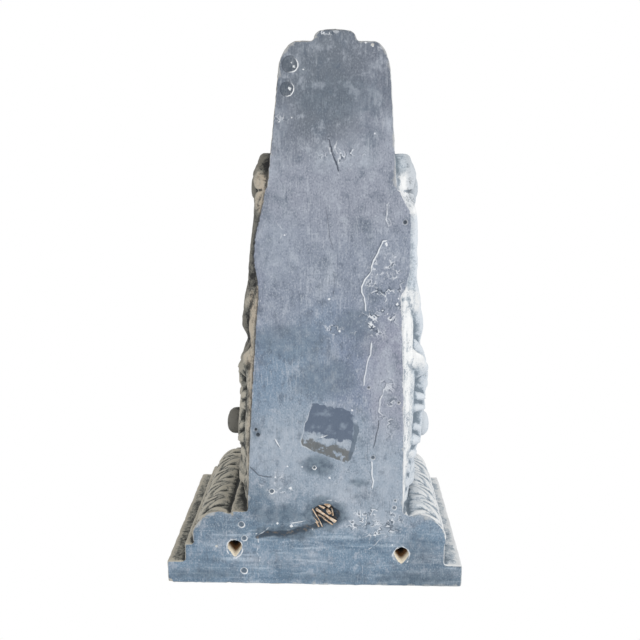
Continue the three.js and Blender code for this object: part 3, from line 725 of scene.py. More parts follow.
# Scuffed areas, and stained ones: across, up, half width, half height, strength
SCUFFS = [
    (75, -300, 24, 52, 0.9), (58, -266, 24, 14, 1.0), (22, -262, 18, 12, 0.7), (68, -36, 36, 20, 1.0),
    (30, -440, 36, 14, 0.8), (6, -564, 22, 4, 1.0), (56, -548, 18, 6, 0.7), (-34, -478, 20, 12, 0.5),
    (78, -170, 18, 70, 0.6), (-40, -80, 36, 26, 0.6), (-20, -30, 60, 26, 0.4), (-70, -330, 16, 60, 0.4),
    (30, -90, 40, 40, 0.4),
]
STAINS = [
    (4, -103, 20, 14, 0.85), (50, -84, 13, 4, 0.8), (47, -66, 4, 6, 0.6), (12, -44, 26, 22, 1.0),
    (-36, -22, 38, 9, 1.0), (-46, -44, 34, 14, 0.6), (2, -350, 6, 4, 0.5), (51, -158, 2.4, 4.5, 0.9),
    (48, -265, 30, 20, 0.5), (-130, 32, 50, 9, 0.6), (120, 34, 60, 9, 0.7), (-63, -142, 5, 8, 0.6),
    (8, -528, 32, 20, 0.25), (-78, -350, 12, 60, 0.35), (20, 34, 70, 8, 0.5), (24, -500, 52, 26, 0.4),
    (-30, -245, 44, 26, 0.45), (14, -205, 40, 26, 0.5), (52, -240, 18, 12, 0.35), (-60, -60, 20, 30, 0.35),
    (118, -2, 26, 24, 0.45), (-124, 14, 30, 8, 0.35),
]

# Lighter, chalkier clouds, given as the stains are
CLOUDS = [
    (30, -440, 44, 16, 0.5), (-46, -440, 26, 30, 0.35), (-42, -350, 26, 40, 0.35), (-38, -125, 34, 34, 0.6),
    (78, -105, 15, 70, 0.5), (28, -74, 30, 14, 0.6), (68, -38, 36, 18, 0.6), (-44, -74, 26, 12, 0.4),
    (-30, 12, 60, 9, 0.5), (-110, -8, 22, 8, 0.4), (-40, -478, 18, 14, 0.5), (72, -215, 18, 24, 0.4),
]

# The break in the back: centre, half size along and across, and tilt in degrees, and the gouge beside it
BREAK = (12, -44, 18, 13.5, 20)
BREAK_DEPTH = 7
GOUGE_WIDTH = 6.5
GOUGE_DEPTH = 2.6
GOUGE = [(8, -31), (-12, -26), (-30, -20), (-50, -19), (-64, -15)]

# The fibres in the break: their points (across, up, depth) from the sunk end, half width, half thickness
FIBRES = [
    ([(-5, -54, 6), (-3, -52, 1.8), (6, -36, 2.2), (9, -29.5, 1.4), (10, -28, 5)], 0.8, 0.6),
    ([(0, -51, 8), (3, -49.5, 2.8), (14, -42, 2.2), (24, -35.5, 1.6), (26, -34, 6)], 2.0, 0.9),
    ([(8, -40, 8), (11, -38, 2.8), (22.5, -30.5, 1.8), (24, -29, 6)], 1.1, 0.7),
    ([(3, -57, 7), (5, -55, 2.6), (11, -51.5, 2.8), (13, -50, 8)], 1.5, 0.9),
    ([(8, -60, 7), (10, -58.5, 2.2), (17.5, -54, 2.4), (19, -52, 8)], 2.0, 1.1),
    ([(13, -50, 8), (15, -48.5, 2.6), (18, -45, 2.2), (19, -43, 8)], 2.1, 1.3),
    ([(-7, -43, 6), (-5, -41, 2.2), (3, -34, 2.4), (5, -32, 6)], 2.3, 0.9),
    ([(2, -44, 8), (5, -42, 4.6), (12, -38, 4.8), (14, -36, 9)], 1.3, 0.8),
    ([(1, -37, 7), (3, -33, 2.6), (5, -29, 1.8), (6, -28, 5)], 1.2, 0.7),
    ([(17, -53, 8), (20, -50, 4.4), (21, -42, 4.2), (21, -39, 8)], 1.2, 0.8),
]

# How far the back stands in, a drop stands out, a scuff is rough, a worn edge is rubbed off and a chip
# goes in, the width of a crater's rim, from which radius a crater is a large one, and what means far off
BACK_SUNK = 0.75
DROP_RISE = 0.3
SCUFF_DEPTH = 0.4
WORN_DEPTH = 0.5
CHIP_DEPTH = 1.5
RIM_WIDTH = 0.9
LARGE_CRATER = 5
FAR_OFF = 9.0

# How much of a notch's radius it goes in, and how far round a hole and beyond its end plaster is bare
NOTCH_DEPTH = 0.45
BARE_RADIUS = 14
BARE_BEYOND = 3
MOUTH_RADIUS = 9

# The patch that a label left, as its corners
LABEL = np.array([(-4, -177), (40, -169), (50, -150), (41, -110), (33, -108), (-17, -127)], float)


def distance(at, points):
    """How far each place is from a line of points, and 1 or -1 for the side of it that the place is on."""
    nearest = np.full(len(at), 1e9)
    side = np.ones(len(at))
    for a, b in itertools.pairwise(np.array(points, float)):
        way = b - a
        off = at - a
        share = np.clip(off @ way / (way @ way), 0, 1)
        away = np.linalg.norm(off - share[:, None] * way, axis=1)
        turn = np.sign(way[0] * off[:, 1] - way[1] * off[:, 0])
        side = np.where(away < nearest, turn, side)
        nearest = np.minimum(nearest, away)
    return nearest, side


def inside_distance(at, corners):
    """Distance to a polygon's edge, below 0 inside it."""
    edge = distance(at, [*corners, corners[0]])[0]
    inside = np.zeros(len(at), bool)
    for a, b in zip(corners, np.roll(corners, -1, axis=0)):
        crosses = (a[1] > at[:, 1]) != (b[1] > at[:, 1])
        with np.errstate(divide="ignore", invalid="ignore"):
            reach = (b[0] - a[0]) * (at[:, 1] - a[1]) / (b[1] - a[1]) + a[0]
        inside ^= crosses & (at[:, 0] < reach)
    return np.where(inside, -edge, edge)


def patches(at, shapes, fade):
    """How strongly each place lies in any of some oval patches. fade gives it by the reach from a middle."""
    found = np.zeros(len(at))
    for across, up, half, tall, strength in shapes:
        reach = np.hypot((at[:, 0] - across) / half, (at[:, 1] - up) / tall)
        found = np.maximum(found, strength * fade(reach))
    return found


def shaken(points, amount, size):
    """Where the points lie on the back, moved about by noise."""
    return points[:, [0, 2]] + amount * np.stack([noise(points, size, 6), noise(points, size, 7)], -1)


class Surface:
    """A mesh's points as arrays, with the smoothing that finds its edges and hollows."""

    def __init__(self, mesh):
        self.mesh = mesh
        count = len(mesh.vertices)
        self.points = np.empty(count * 3)
        mesh.vertices.foreach_get("co", self.points)
        self.points = self.points.reshape(-1, 3)
        edges = np.empty(len(mesh.edges) * 2, np.int64)
        mesh.edges.foreach_get("vertices", edges)
        self.ends = edges.reshape(-1, 2)
        self.near = np.bincount(edges, minlength=count)[:, None]

    def smooth(self, values, times):
        a, b = self.ends.T
        count = len(values)
        for _ in range(times):
            total = np.stack(
                [np.bincount(a, column[b], count) + np.bincount(b, column[a], count) for column in values.T],
                -1,
            )
            values = 0.5 * values + 0.5 * total / self.near
        return values

    def normals(self):
        self.store()
        found = np.empty(len(self.points) * 3)
        self.mesh.vertex_normals.foreach_get("vector", found)
        return found.reshape(-1, 3)

    def store(self):
        self.mesh.vertices.foreach_set("co", self.points.ravel())
        self.mesh.update()

    def attribute(self, name, values):
        layer = self.mesh.attributes.new(name, "FLOAT", "POINT")
        layer.data.foreach_set("value", values.astype(np.float32))


def break_and_gouge(points, moved):
    """How fully each point lies in the torn hollow, and in the gouge that runs from it."""
    across, up, half, other, tilt = BREAK
    turn = math.radians(tilt)
    off = points[:, [0, 2]] - [across, up]
    along = (off[:, 0] * math.cos(turn) + off[:, 1] * math.sin(turn)) / half
    over = (-off[:, 0] * math.sin(turn) + off[:, 1] * math.cos(turn)) / other
    reach = np.sqrt(along**2 + over**2) * (1 + 0.25 * noise(points, 9, 11))
    away = distance(moved, GOUGE)[0] * (1 + 0.3 * noise(points, 10, 13))
    return smoothstep(1.05, 0.7, reach), smoothstep(GOUGE_WIDTH, 1.5, away)


def back_marks(points):
    """The back's marks: how far they move it, how strong they are, and the distances to their edges."""
    at = points[:, [0, 2]]
    moved = shaken(points, 2.2, 7)
    stain_edge = 1 + 0.25 * noise(points, 12, 9)
    cloud_edge = 1 + 0.3 * noise(points, 16, 10)
    scuff = patches(at, SCUFFS, lambda reach: np.exp(-(reach**2)))
    stain = patches(moved, STAINS, lambda reach: smoothstep(1.15, 0.6, reach * stain_edge))
    cloud = patches(moved, CLOUDS, lambda reach: smoothstep(1.3, 0.4, reach * cloud_edge))
    push = 0.35 * noise(points, 70, 1) + 0.18 * noise(points, 22, 2) - BACK_SUNK
    push += 0.12 * noise(points, 8, 4) + SCUFF_DEPTH * scuff * noise(points, 5, 3)

    # Craters: how far each point is outside the nearest one's rim, and how its rim is lit, which places a
    # painted highlight on the lit side and painted shade on the other
    ring, drop, line = np.full((3, len(points)), FAR_OFF)
    rim_white_and_highlight, lit, line_white = np.zeros((3, len(points)))
    line_side = np.ones(len(points))
    uneven = 1 + 0.1 * noise(points, 5, 5)
    for across, up, radius, depth, rim, white in CRATERS:
        off = at - [across, up]
        away = np.linalg.norm(off, axis=1) * uneven
        push -= depth * smoothstep(radius, radius * 0.45, away)
        push += rim * np.exp(-(((away - radius) / RIM_WIDTH) ** 2))
        nearer = away - radius < ring
        facing = smoothstep(-0.4, 0.9, (off[:, 0] + 0.4 * off[:, 1]) / (away + 0.1))
        least = 0.7 if radius < LARGE_CRATER else 0
        ring = np.where(nearer, away - radius, ring)
        rim_white_and_highlight = np.where(nearer, white, rim_white_and_highlight)
        lit = np.where(nearer, lerp(least, 1, facing), lit)

    # White drops and painted glints, and lines: which side of the nearest line each point is on and how far
    for across, up, radius in DROPS_AND_GLINTS:
        away = np.linalg.norm(at - [across, up], axis=1) * uneven
        drop = np.minimum(drop, away - radius)
        push += DROP_RISE * smoothstep(radius, 0, away)
    jitter = shaken(points, 0.9, 6)
    for way, half, height, white in LINES:
        away, side = distance(jitter, way)
        push += height * np.exp(-((away / (half + 0.4)) ** 2))
        nearer = away < line
        line_side = np.where(nearer, side, line_side)
        line_white = np.where(nearer, white, line_white)
        line = np.minimum(line, away)

    torn, gouge = break_and_gouge(points, moved)
    push -= (BREAK_DEPTH * torn + GOUGE_DEPTH * gouge) * (1 + 0.3 * noise(points, 4, 12))
    strengths = {
        "scuff": scuff, "cloud": cloud, "rim": rim_white_and_highlight, "stain": np.maximum(stain, 0.9 * torn),
        "torn": np.maximum(torn, 0.8 * gouge), "line_white": line_white * np.exp(-((line / 2.5) ** 2)),
    }
    label = np.clip(inside_distance(at, LABEL), -20, 20)
    return push, strengths, {"ring": ring, "lit": lit, "drop": drop, "line": line * line_side, "label": label}


def bare_holes(points):
    """Which points lie in the hanging holes, and how far each is from the edge of a hole's mouth."""
    raw = np.zeros(len(points))
    mouth = np.full(len(points), FAR_OFF)
    x, y, z = points.T
    for side, from_side, raised in HOLES:
        off = x - side * (CAP_WIDTH / 2 - from_side)
        above = z - raised - 2
        away = np.hypot(off, above - y * math.tan(HOLE_SLANT))
        raw[(y < -0.6) & (y > -HOLE_LENGTH - BARE_BEYOND) & (away < BARE_RADIUS)] = 1
        mouth = np.minimum(mouth, np.hypot(off, above * 0.8) - MOUTH_RADIUS)
    return raw, mouth


def wear(surface):
    """Cuts the marks and the wear into the surface, and keeps what they show as attributes."""
    surface.points = points = surface.smooth(surface.points, 1)
    normals = surface.normals()
    fine = surface.smooth(points, 5)
    edge = np.sum((points - fine) * normals, 1) / 0.35
    hollow = np.sum((surface.smooth(fine, 40) - points) * normals, 1) / 1.6
    groove = np.sum((surface.smooth(fine, 6) - fine) * normals, 1) / 0.5
    back = smoothstep(-2.6, -0.9, points[:, 1]) * smoothstep(0.35, 0.8, normals[:, 1])
    push, strengths, distances = back_marks(points)

    # What isn't the back is worn softly, edges are worn more, and the sharpest are chipped
    lumps = 0.45 * noise(points * [1, 1, 0.7], 9, 13) + 0.3 * noise(points, 4, 14) - 0.45
    worn = smoothstep(0.5, 1.4, edge) * smoothstep(-0.1, 0.5, noise(points, 14, 15))
    chip = smoothstep(0.7, 1.6, edge) * smoothstep(0.42, 0.62, noise(points, 11, 16))
    push = back * push + (1 - back) * lumps - WORN_DEPTH * worn - CHIP_DEPTH * chip
    for across, up, radius in NOTCHES:
        away = np.linalg.norm(points - [across, 0, up], axis=1) * (1 + 0.2 * noise(points, 3, 18))
        notch = smoothstep(radius, radius * 0.3, away)
        push -= NOTCH_DEPTH * radius * notch
        chip = np.maximum(chip, 0.8 * notch)

    surface.points = in_box(points + normals * push[:, None])
    surface.store()
    raw, mouth = bare_holes(points)
    shown = {name: values * back for name, values in strengths.items()} | distances
    shown |= {"back": back, "edge": edge, "hollow": hollow, "groove": groove, "mouth": mouth, "raw": raw}
    shown["chip"] = np.clip(np.maximum(chip, worn * 0.5), 0, 1)
    for name, values in shown.items():
        surface.attribute(name, values)


def in_box(points):
    """The points, with any that lie beyond the casting's overall sizes brought back to them."""
    return np.clip(points, [-CAP_WIDTH / 2, -CAP_DEPTH, FOOT_TIP], [CAP_WIDTH / 2, 0, CAP_TOP])


def fibres():
    """The straw-like fibres that show in the break, each a bent strip with its ends sunk in."""
    forms = Forms()
    for number, (points, half, thick) in enumerate(FIBRES):
        spine = np.array([(x, -y, z) for x, z, y in points], float)
        raised = np.array((0, thick, 0))
        rings = []
        for place, at in enumerate(spine):
            ahead = spine[min(place + 1, len(spine) - 1)] - spine[max(place - 1, 0)]
            wide = np.cross(ahead, (0, 1, 0))
            wide *= half * (0.8 + 0.25 * math.sin(2.1 * place + number)) / np.linalg.norm(wide)
            rings += [at + wide, at + raised, at - wide, at - raised]
        forms.add(np.minimum(rings, (1e9, -0.05, 1e9)), np.array(tube_faces(len(spine), 4)))
    return forms.mesh("break_fibres")


def linear(code):
    """An sRGB colour code as linear light."""
    parts = [int(code[i : i + 2], 16) / 255 for i in (1, 3, 5)]
    return [p / 12.92 if p <= 0.04045 else ((p + 0.055) / 1.055) ** 2.4 for p in parts] + [1]


class Value:
    """What a node gives. Sums with it make further nodes."""

    def __init__(self, material, socket):
        self.material = material
        self.socket = socket

    def __add__(self, other):
        return self.material.math("ADD", self, other)

    def __sub__(self, other):
        return self.material.math("SUBTRACT", self, other)

    def __mul__(self, other):
        return self.material.math("MULTIPLY", self, other)

    def ramp(self, low, high, start=0.0, end=1.0):
        """A smooth change from start, at the low value, to end, at the high one."""
        values = dict(enumerate((self, low, high, start, end)))
        node = self.material.add("ShaderNodeMapRange", values, interpolation_type="SMOOTHSTEP")
        return Value(self.material, node.outputs[0])

    def near(self, value, wide, narrow):
        """1 close to a value, falling to 0 at the wide distance from it."""
        return self.material.math("ABSOLUTE", self - value).ramp(wide, narrow)


class Material:
    """A material's nodes, put together from what they do."""

    def __init__(self, name):
        self.made = bpy.data.materials.new(name)
        self.made.use_nodes = True
        self.nodes = self.made.node_tree.nodes
        self.nodes.clear()
        place = self.add("ShaderNodeTexCoord").outputs["Object"]
        self.place = self.vector("MULTIPLY", place, (1 / MM,) * 3)

    def add(self, kind, inputs=None, **settings):
        node = self.nodes.new(kind)
        for key, value in settings.items():
            setattr(node, key, value)
        for key, value in (inputs or {}).items():
            value = value.socket if isinstance(value, Value) else value
            if isinstance(value, bpy.types.NodeSocket):
                self.made.node_tree.links.new(value, node.inputs[key])
            else:
                node.inputs[key].default_value = value
        return node

    def math(self, operation, *values):
        node = self.add("ShaderNodeMath", dict(enumerate(values)), operation=operation)
        return Value(self, node.outputs[0])

    def vector(self, operation, a, b):
        return self.add("ShaderNodeVectorMath", {0: a, 1: b}, operation=operation).outputs[0]

    def axes(self):
        """Where a point lies across, along Y and up, in millimetres."""
        node = self.add("ShaderNodeSeparateXYZ", {0: self.place})
        return [Value(self, output) for output in node.outputs]

    def attribute(self, name):
        return Value(self, self.add("ShaderNodeAttribute", attribute_name=name).outputs["Fac"])

    def noise(self, size, stretch=(1, 1, 1), detail=3, seed=0, rough=0.55):
        """Noise about 0.5, in lumps of a size in millimetres, longer along an axis by its stretch."""
        scale = tuple(1 / (size * s) for s in stretch)
        place = self.vector("ADD", self.vector("MULTIPLY", self.place, scale), (seed * 7.31,) * 3)
        values = {"Vector": place, "Scale": 1.0, "Detail": detail, "Roughness": rough}
        return Value(self, self.add("ShaderNodeTexNoise", values).outputs["Fac"])

    def mix(self, share, a, b):
        """Colour a with a share of colour b over it. Both may be sRGB codes."""
        a, b = (linear(colour) if isinstance(colour, str) else colour for colour in (a, b))
        return self.add("ShaderNodeMix", {0: share, 6: a, 7: b}, data_type="RGBA").outputs[2]

    def coats(self, colour, *layers):
        """The colour with each layer, a share and a colour, painted over it in turn."""
        for share, paint in layers:
            colour = self.mix(share, colour, paint)
        return colour

    def finish(self, colour, roughness, height, distance):
        bump = self.add("ShaderNodeBump", {"Strength": 0.6, "Distance": distance, "Height": height})
        values = {"Base Color": colour, "Roughness": roughness, "Normal": bump.outputs[0]}
        surface = self.add("ShaderNodeBsdfPrincipled", {**values, "Specular IOR Level": 0.25})
        self.add("ShaderNodeOutputMaterial", {"Surface": surface.outputs[0]})
        return self.made


def slate_paint(m, up, across):
    """The paint of the back before its marks, as a colour and a height for the bump."""
    drift = up + (m.noise(80, seed=1) - 0.5) * 130
    aside = across + (m.noise(50, seed=31) - 0.5) * 60
    chalk = m.noise(30, (1, 1, 1.5), 6, 2, 0.62)
    deep = m.noise(34, (1, 1, 1.2), 6, 3, 0.62)
    small = m.noise(9, (1, 1, 1.3), 5, 5, 0.6)
    wisps = m.noise(5, (9, 1, 1), 5, 32)
    smears = m.noise(8, (6, 1, 1), 5, 49)
    by_cap = up.ramp(-60, -10)
    brushed = m.noise(1.9, (1, 1, 11), 3, 4)
    streaked = m.noise(45, seed=33).ramp(0.4, 0.65, 0.1, 0.5)
    grain = m.noise(1.5, (1, 1, 1.5), 3, 34)
    fleck = m.noise(2.6, (1, 1, 1.2), 2, 6)
    pit = m.noise(3, (1, 1, 1.3), 2, 7)
    slate = m.coats(
        "#7a808c",
        (drift.ramp(-500, -430), "#979ca9"),
        (aside.ramp(-45, -10) * aside.ramp(60, 25) * up.ramp(-440, -480) * 0.6, "#6d757d"),
        (drift.ramp(-400, -330), "#8f97a6"),
        (drift.ramp(-300, -230), m.mix(aside.ramp(-30, 40), "#8194a8", "#8590a4")),
        (drift.ramp(-200, -130), "#9aa7b5"),
        (drift.ramp(-100, -50) * aside.ramp(40, -40), "#6f8395"),
        (drift.ramp(-45, -5), "#7a90a4"),
        (up.ramp(-20, 20) * aside.ramp(70, 150), "#748493"),
        (aside.ramp(-50, -78) * up.ramp(-420, -370) * up.ramp(-180, -230) * 0.45, "#7e8198"),
        (aside.ramp(45, 70) * up.ramp(-300, -240) * up.ramp(-110, -170) * 0.6, "#a09fad"),
        (chalk.ramp(0.5, 0.72) * 0.6, "#b3bac4"),
        (deep.ramp(0.53, 0.72) * 0.65, "#65717f"),
        (small.ramp(0.52, 0.7) * 0.5, "#b9bfc9"),
        (small.ramp(0.48, 0.3) * 0.55, "#606b7a"),
        (wisps.ramp(0.52, 0.7) * by_cap * 0.65, "#b4c3d0"),
        (smears.ramp(0.5, 0.36) * by_cap * 0.55, "#576f84"),
        (brushed.ramp(0.55, 0.72) * streaked, "#c3c8cf"),
        (brushed.ramp(0.45, 0.3) * streaked, "#5f6976"),
        (grain.ramp(0.52, 0.7) * up.ramp(-470, -440, 0.2, 0.38), "#cdd2d8"),
        (grain.ramp(0.48, 0.3) * 0.4, "#4d5764"),
        (fleck.ramp(0.69, 0.75) * up.ramp(-470, -440, 0.25, 1) * 0.45, "#cfd4da"),
        (pit.ramp(0.29, 0.24) * 0.5, "#525b68"),
    )
    return slate, brushed * 0.4 + grain * 0.6 + small * 0.8


def marks(m, slate, up, across):
    """The paint with its clouds, stains, label's patch, scuffs, craters, drops, lines and torn plaster, with
    painted shade and highlights on the scuffs, craters and lines and painted glints among the drops.
    """
    cloudy = m.attribute("cloud") * m.noise(7, (1, 1, 1.4), 5, 45, 0.65).ramp(0.3, 0.65)
    stained = m.mix(m.noise(7, detail=5, seed=35, rough=0.65).ramp(0.35, 0.65), "#485766", "#74838f")

    # The label's patch: a dark block, a pale band below it, glue, a strip at the side and a pale rim
    ragged = (m.noise(6, detail=5, seed=8) - 0.5) * 7
    border = m.attribute("label") + ragged * up.ramp(-140, -160, 0.4, 1.3)
    patch = border.ramp(0.5, -0.5)
    fall = up - across * 0.24 + ragged * 2.6
    band = fall.ramp(-144, -141) * fall.ramp(-130, -134) * across.ramp(40, 34)
    band = band * m.noise(9, detail=4, seed=47).ramp(0.35, 0.6)
    block = fall.ramp(-140, -143) * (across + ragged).ramp(44, 41.5)
    glue = fall.ramp(-135, -131) * m.noise(7, detail=4, seed=46).ramp(0.36, 0.48)
    strip = border.ramp(-5.5, -4.5) * across.ramp(36, 40) * up.ramp(-156, -151)

    # Scuffs are thin white squiggles with painted shade squiggles beside them, and rubbed white. Craters have
    # painted shade on their dish and unlit side and a painted highlight on their lit one.
    scuff = m.attribute("scuff")
    curl = m.noise(8, detail=2, seed=37)
    curled = m.noise(13, detail=3, seed=38).ramp(0.47, 0.6) * scuff.ramp(0.25, 0.7)
    rubbed = m.noise(3.6, (1, 1, 1.3), 5, 39, 0.65).ramp(0.6, 0.7)
    ring, lit, rim, drop = (m.attribute(name) for name in ("ring", "lit", "rim", "drop"))
    on_crater = rim.ramp(0, 0.1)

    # Lines are white with a painted shadow along one side, or cracks. The torn hollow is dark with brown
    # showing in it.
    line, white = m.attribute("line"), m.attribute("line_white")
    whole = m.math("MAXIMUM", m.noise(5, detail=4, seed=40).ramp(0.4, 0.55), white.ramp(0.6, 0.75))
    inside = m.mix(m.noise(4, detail=4, seed=41).ramp(0.5, 0.68), "#3b4652", "#6f655b")
    return m.coats(
        slate,
        (cloudy, "#b6bec8"),
        (m.attribute("stain").ramp(0.05, 0.9) * 0.8, stained),
        (patch * band * 0.7, "#b4bcc5"),
        (patch * block * 0.92, m.mix(m.noise(10, detail=5, seed=9).ramp(0.5, 0.72), "#5f6b7d", "#8591a0")),
        (patch * glue * 0.85, m.mix(m.noise(9, seed=36), "#585c60", "#77756d")),
        (patch * strip * 0.8, "#64717f"),
        (border.near(0, 0.9, 0.3) * across.ramp(0, -8) * 0.7, "#c5ccd3"),
        # Painted shade beside each white squiggle, then the white squiggle
        (curl.near(0.57, 0.05, 0.015) * curled * 0.8, "#4d5865"),
        (curl.near(0.5, 0.05, 0.015) * curled * 0.9, "#e3e6ea"),
        (rubbed * scuff.ramp(0.3, 1) * 0.75, "#d9dee3"),
        # Painted shade in each crater's dish and along its unlit rim, then a painted highlight on its lit rim
        (ring.ramp(0, -0.8) * on_crater * rim.ramp(0.5, 0.2, 0.5, 0.95), "#475059"),
        (ring.near(0, 0.9, 0.3) * on_crater * lit.ramp(0.5, 0.1) * 0.7, "#49515c"),
        (ring.near(-0.3, 0.85, 0.3) * lit * lit * rim, "#f6f7f8"),
        # White drops, and painted glints in the largest craters
        (drop.ramp(0.3, -0.5) * 0.95, "#eef0f2"),
        # Painted shadow along one side of each white line, then the white line, then dark cracks
        (line.near(1.3, 0.9, 0.3) * white.ramp(0.1, 1.1) * whole * 0.8, "#56616e"),
        (line.near(0, 0.95, 0.4) * white.ramp(0, 1) * whole, "#e6e9ec"),
        (line.near(0, 1.2, 0.3) * white.ramp(-0.1, -0.6) * 0.85, "#454c58"),
        (m.attribute("torn").ramp(0.35, 0.8) * 0.85, inside),
    )


def carving(m, up, across, deep):
    """The patina of the sides and the front: grime in the hollows, tan and chalk on what stands out, painted
    darker towards the -X side as shade and paler towards the +X side as light.
    """
    # Share towards the +X side: the patina is painted in shade on the -X side and in light on the +X side
    side = (across + m.noise(60, seed=12) * 60).ramp(-30, 110)
    coarse = m.noise(5.5, (1, 1, 1.3), 5, 42, 0.65) - 0.5
    raised = m.attribute("edge") * 0.5 - m.attribute("hollow") * 0.9 - m.attribute("groove") * 0.9
    tone = raised * up.ramp(-60, -45, 1, 1.7) + (m.noise(17, (1, 1, 1.4), 5, 13) - 0.5) * 2.6
    tone = tone + (m.noise(2, detail=4, seed=14, rough=0.65) - 0.5) * 2.8 + coarse * 3.4

    def toned(low, high, dark, light):
        return m.mix(tone.ramp(low, high), dark, light)

    # A paler strip by the wall, narrow where the slab stands out, with the -X side painted nearly black as
    # shade beyond it
    below_cap = up.ramp(-42, -52)
    slab = up.ramp(-392, -376) * up.ramp(-298, -312)
    waist = up.ramp(-300, -285) * up.ramp(-215, -235)
    out = coarse * 9 - deep + (slab * 10 - waist * 4)
    # Painted shade: nearly black beyond the wall strip, and far out on the -X side
    shade_beyond_strip = out.ramp(8, 13) * up.ramp(-200, -235)
    far_out = across.ramp(-86, -91) * up.ramp(-70, -90) * up.ramp(-380, -370)
    grime = m.noise(5, (1, 1, 4), 5, 48, 0.65).ramp(0.38, 0.52)
    by_wall = out.ramp(11, 6.5) * below_cap * (grime * 0.75 + 0.25)
    crown = up.ramp(-385, -400) * across.ramp(92, 98)
    rust = m.noise(4, detail=3, seed=47).ramp(0.66, 0.74)
    # Painted shade: a dark line in the crease by the wall, strongest on the -X side
    wall_crease_shade = deep.ramp(-4.2, -2.2) * below_cap * across.ramp(90, 40, 0.35, 1) * coarse.ramp(-0.15, 0)
    # The -X side's patina, painted darker as shade
    shaded_patina = m.coats(
        toned(-1.1, -0.4, "#373836", "#5b5b56"),
        (tone.ramp(-0.4, 0.15), "#8a8981"),
        (tone.ramp(0.15, 0.8), "#b9b3a5"),
        (shade_beyond_strip * 0.8, toned(-0.5, 0.6, "#29292a", "#6a6861")),
        (far_out * 0.85, toned(-0.5, 0.6, "#2e2e2d", "#5f5e59")),
        (by_wall * up.ramp(-130, -200, 0.5, 0.9), toned(-0.9, 0.3, "#5e5a54", "#c4b7a4")),
    )
    # The +X side's patina, blue-grey overspray and chalk, painted paler and whiter as light
    pale = m.coats(
        toned(-1.1, -0.4, "#7d8892", "#a5afb8"),
        (tone.ramp(-0.4, 0.1), "#bfc6cc"),
        (tone.ramp(0.1, 0.7), "#e4e5e5"),
        (out.ramp(9, 15) * below_cap * 0.65, toned(-0.9, 0.4, "#8a96a1", "#ccd5de")),
        (by_wall * 0.85, toned(-0.9, -0.1, "#aab2bb", "#f4f4f3")),
        (crown * 0.8, toned(-0.6, 0.5, "#6d747c", "#c0c6cc")),
        (rust * 0.5, "#8d857a"),
    )
    # The two sides' patinas mixed across the front, with the painted shade of the crease by the wall over
    # them
    return m.mix(wall_crease_shade * 0.8, m.mix(side, shaded_patina, pale), m.mix(side, "#3b3e43", "#7d838d"))


def casting_material():
    """Chalky slate paint on the back, and a stone-grey and tan patina on the carving."""
    m = Material("aged_painted_plaster")
    across, deep, up = m.axes()
    edge, back = m.attribute("edge"), m.attribute("back")
    slate, height = slate_paint(m, up, across)
    worn_edge = (edge + m.noise(7, detail=4, seed=11)).ramp(0.95, 1.5)
    slate = m.mix(worn_edge * 0.6, marks(m, slate, up, across), "#cbcac5")

    # Bare plaster in the hanging holes, painted brown and then black further in as shade
    plaster = m.mix(m.noise(5, seed=15), "#e0d2b8", "#f4ecdc")
    mouth = m.attribute("mouth").near(0.3, 1.2, 0.3) * back.ramp(0.5, 0.9)
    colour = m.coats(
        carving(m, up, across, deep),
        ((back + (m.noise(4, seed=43) - 0.5) * 0.9).ramp(0.4, 0.6), slate),
        (
            m.attribute("raw").ramp(0.4, 0.6),
            # Painted shade deeper in the holes, brown and then black
            m.coats(plaster, (deep.ramp(-3, -9), "#6a4a2c"), (deep.ramp(-8, -15), "#0b0705")),
        ),
        (mouth * m.noise(6, seed=44).ramp(0.42, 0.56) * 0.85, "#e9ebed"),
        (m.attribute("chip").ramp(0.35, 0.7) * 0.85, "#dfdcd4"),
    )
    rough = m.noise(8, detail=4, seed=16).ramp(0.2, 0.8, 0.68, 0.92)
    return m.finish(colour, rough, height, 0.0006)


def fibre_material():
    """Straw and splintered wood, paler on the raised parts and brown further in."""
    m = Material("straw_fibre")
    long = m.noise(1.4, (3, 1, 2), 4, 21).ramp(0.3, 0.7)
    deep = m.axes()[1]
    tone = m.mix(deep.ramp(-3.2, -6), m.mix(long, "#b08e6c", "#f5e4cf"), "#4b3a2c")
    return m.finish(tone, 0.8, long, 0.0003)


# The photograph's camera: its turns in radians, its focal length in the photograph's pixels and its place
CAMERA_LEAN, CAMERA_TURN, CAMERA_ROLL = 0.222116, -0.0242635, 0.003918
FOCAL_PIXELS = 815.09
PHOTO_PIXELS = 640
CAMERA_PLACE = Vector((26.217, 850, -462.31)) * MM

# Light: the surroundings' tone, and the lamps' places, sizes, powers and colours, in metres and watts
AMBIENT = (0.655, 0.67, 0.69, 1)
LAMP_AIM = Vector((0, -0.05, -0.26))
LAMPS = [
    ("key", (1.9, 0.9, -0.7), 1.1, 17, (1, 0.99, 0.97)),
    ("fill", (-0.9, 2.2, -0.9), 1.8, 17, (1, 1, 1)),
    ("front_fill", (-0.6, -2.4, 0.5), 2.0, 26, (1, 0.98, 0.96)),
]
FLOOR_RADIUS = 1.5
FLOOR_DROP = 0.5


def camera():
    """The photograph's camera, behind the corbel and a little beyond its foot, held with the foot up."""
    lean, turn, roll = CAMERA_LEAN, CAMERA_TURN, CAMERA_ROLL
    forward = Vector((math.sin(turn) * math.cos(lean), -math.cos(turn) * math.cos(lean), math.sin(lean)))
    right = forward.cross(Vector((0, 0, -1))).normalized()
    top = right.cross(forward)
    across = right * math.cos(roll) + top * math.sin(roll)
    above = top * math.cos(roll) - right * math.sin(roll)
    data = bpy.data.cameras.new("camera")
    data.sensor_width = 36
    data.lens = data.sensor_width * FOCAL_PIXELS / PHOTO_PIXELS
    data.clip_start = 0.01
    obj = new_object("camera", data)
    facing = Matrix((across, above, -forward)).transposed()
    obj.matrix_world = Matrix.Translation(CAMERA_PLACE) @ facing.to_4x4()
    bpy.context.scene.camera = obj


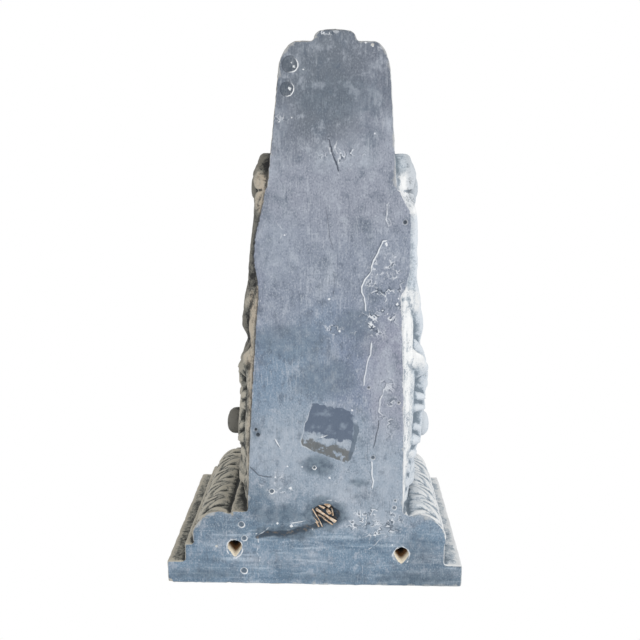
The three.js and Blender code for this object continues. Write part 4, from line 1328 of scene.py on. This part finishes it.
def surroundings():
    """A world that is white to the camera and a soft blue-grey light to the corbel."""
    world = bpy.data.worlds.new("white")
    world.use_nodes = True
    nodes, links = world.node_tree.nodes, world.node_tree.links
    nodes.clear()
    rays = nodes.new("ShaderNodeLightPath")
    tone = nodes.new("ShaderNodeMix")
    tone.data_type = "RGBA"
    tone.inputs[6].default_value = AMBIENT
    tone.inputs[7].default_value = (1, 1, 1, 1)
    sky = nodes.new("ShaderNodeBackground")
    out = nodes.new("ShaderNodeOutputWorld")
    links.new(rays.outputs["Is Camera Ray"], tone.inputs[0])
    links.new(tone.outputs[2], sky.inputs["Color"])
    links.new(sky.outputs[0], out.inputs["Surface"])
    bpy.context.scene.world = world
    bpy.context.scene.view_settings.view_transform = "Standard"


def studio():
    """The lamps, and a pale round floor below the corbel."""
    surroundings()
    for name, place, size, power, colour in LAMPS:
        light = bpy.data.lights.new(name, "AREA")
        light.size = size
        light.energy = power
        light.color = colour
        lamp = new_object(name, light)
        lamp.location = place
        lamp.rotation_euler = (LAMP_AIM - lamp.location).to_track_quat("-Z", "Y").to_euler()
    angle = np.linspace(0, 2 * np.pi, 97)[:-1]
    height = np.full(96, FOOT_TIP * MM - FLOOR_DROP)
    rim = np.stack([FLOOR_RADIUS * np.cos(angle), FLOOR_RADIUS * np.sin(angle), height], -1)
    mesh = bpy.data.meshes.new("floor")
    mesh.from_pydata(rim.tolist(), [], [list(range(96))])
    floor = new_object("floor", mesh)
    paint = Material("pale_floor")
    cloud = paint.mix(paint.noise(300, detail=2), "#e4e3e0", "#eceae7")
    floor.data.materials.append(paint.finish(cloud, 0.8, paint.noise(6), 0.0002))


camera()
studio()
corbel = casting()
dense = Surface(corbel.data)
wear(dense)
thin = corbel.modifiers.new("thin", "DECIMATE")
thin.ratio = MOST_TRIANGLES / (2 * len(corbel.data.polygons))
thinned = Surface(evaluated(corbel))
thinned.points = in_box(thinned.points)
thinned.store()
corbel.data.polygons.foreach_set("use_smooth", [True] * len(corbel.data.polygons))
corbel.data.materials.append(casting_material())
straw = new_object("break_fibres", fibres())
outward(straw)
straw.data.materials.append(fibre_material())
for piece in (corbel, straw):
    piece.data.transform(Matrix.Scale(MM, 4))
    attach(piece, "root")
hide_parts("corbel")
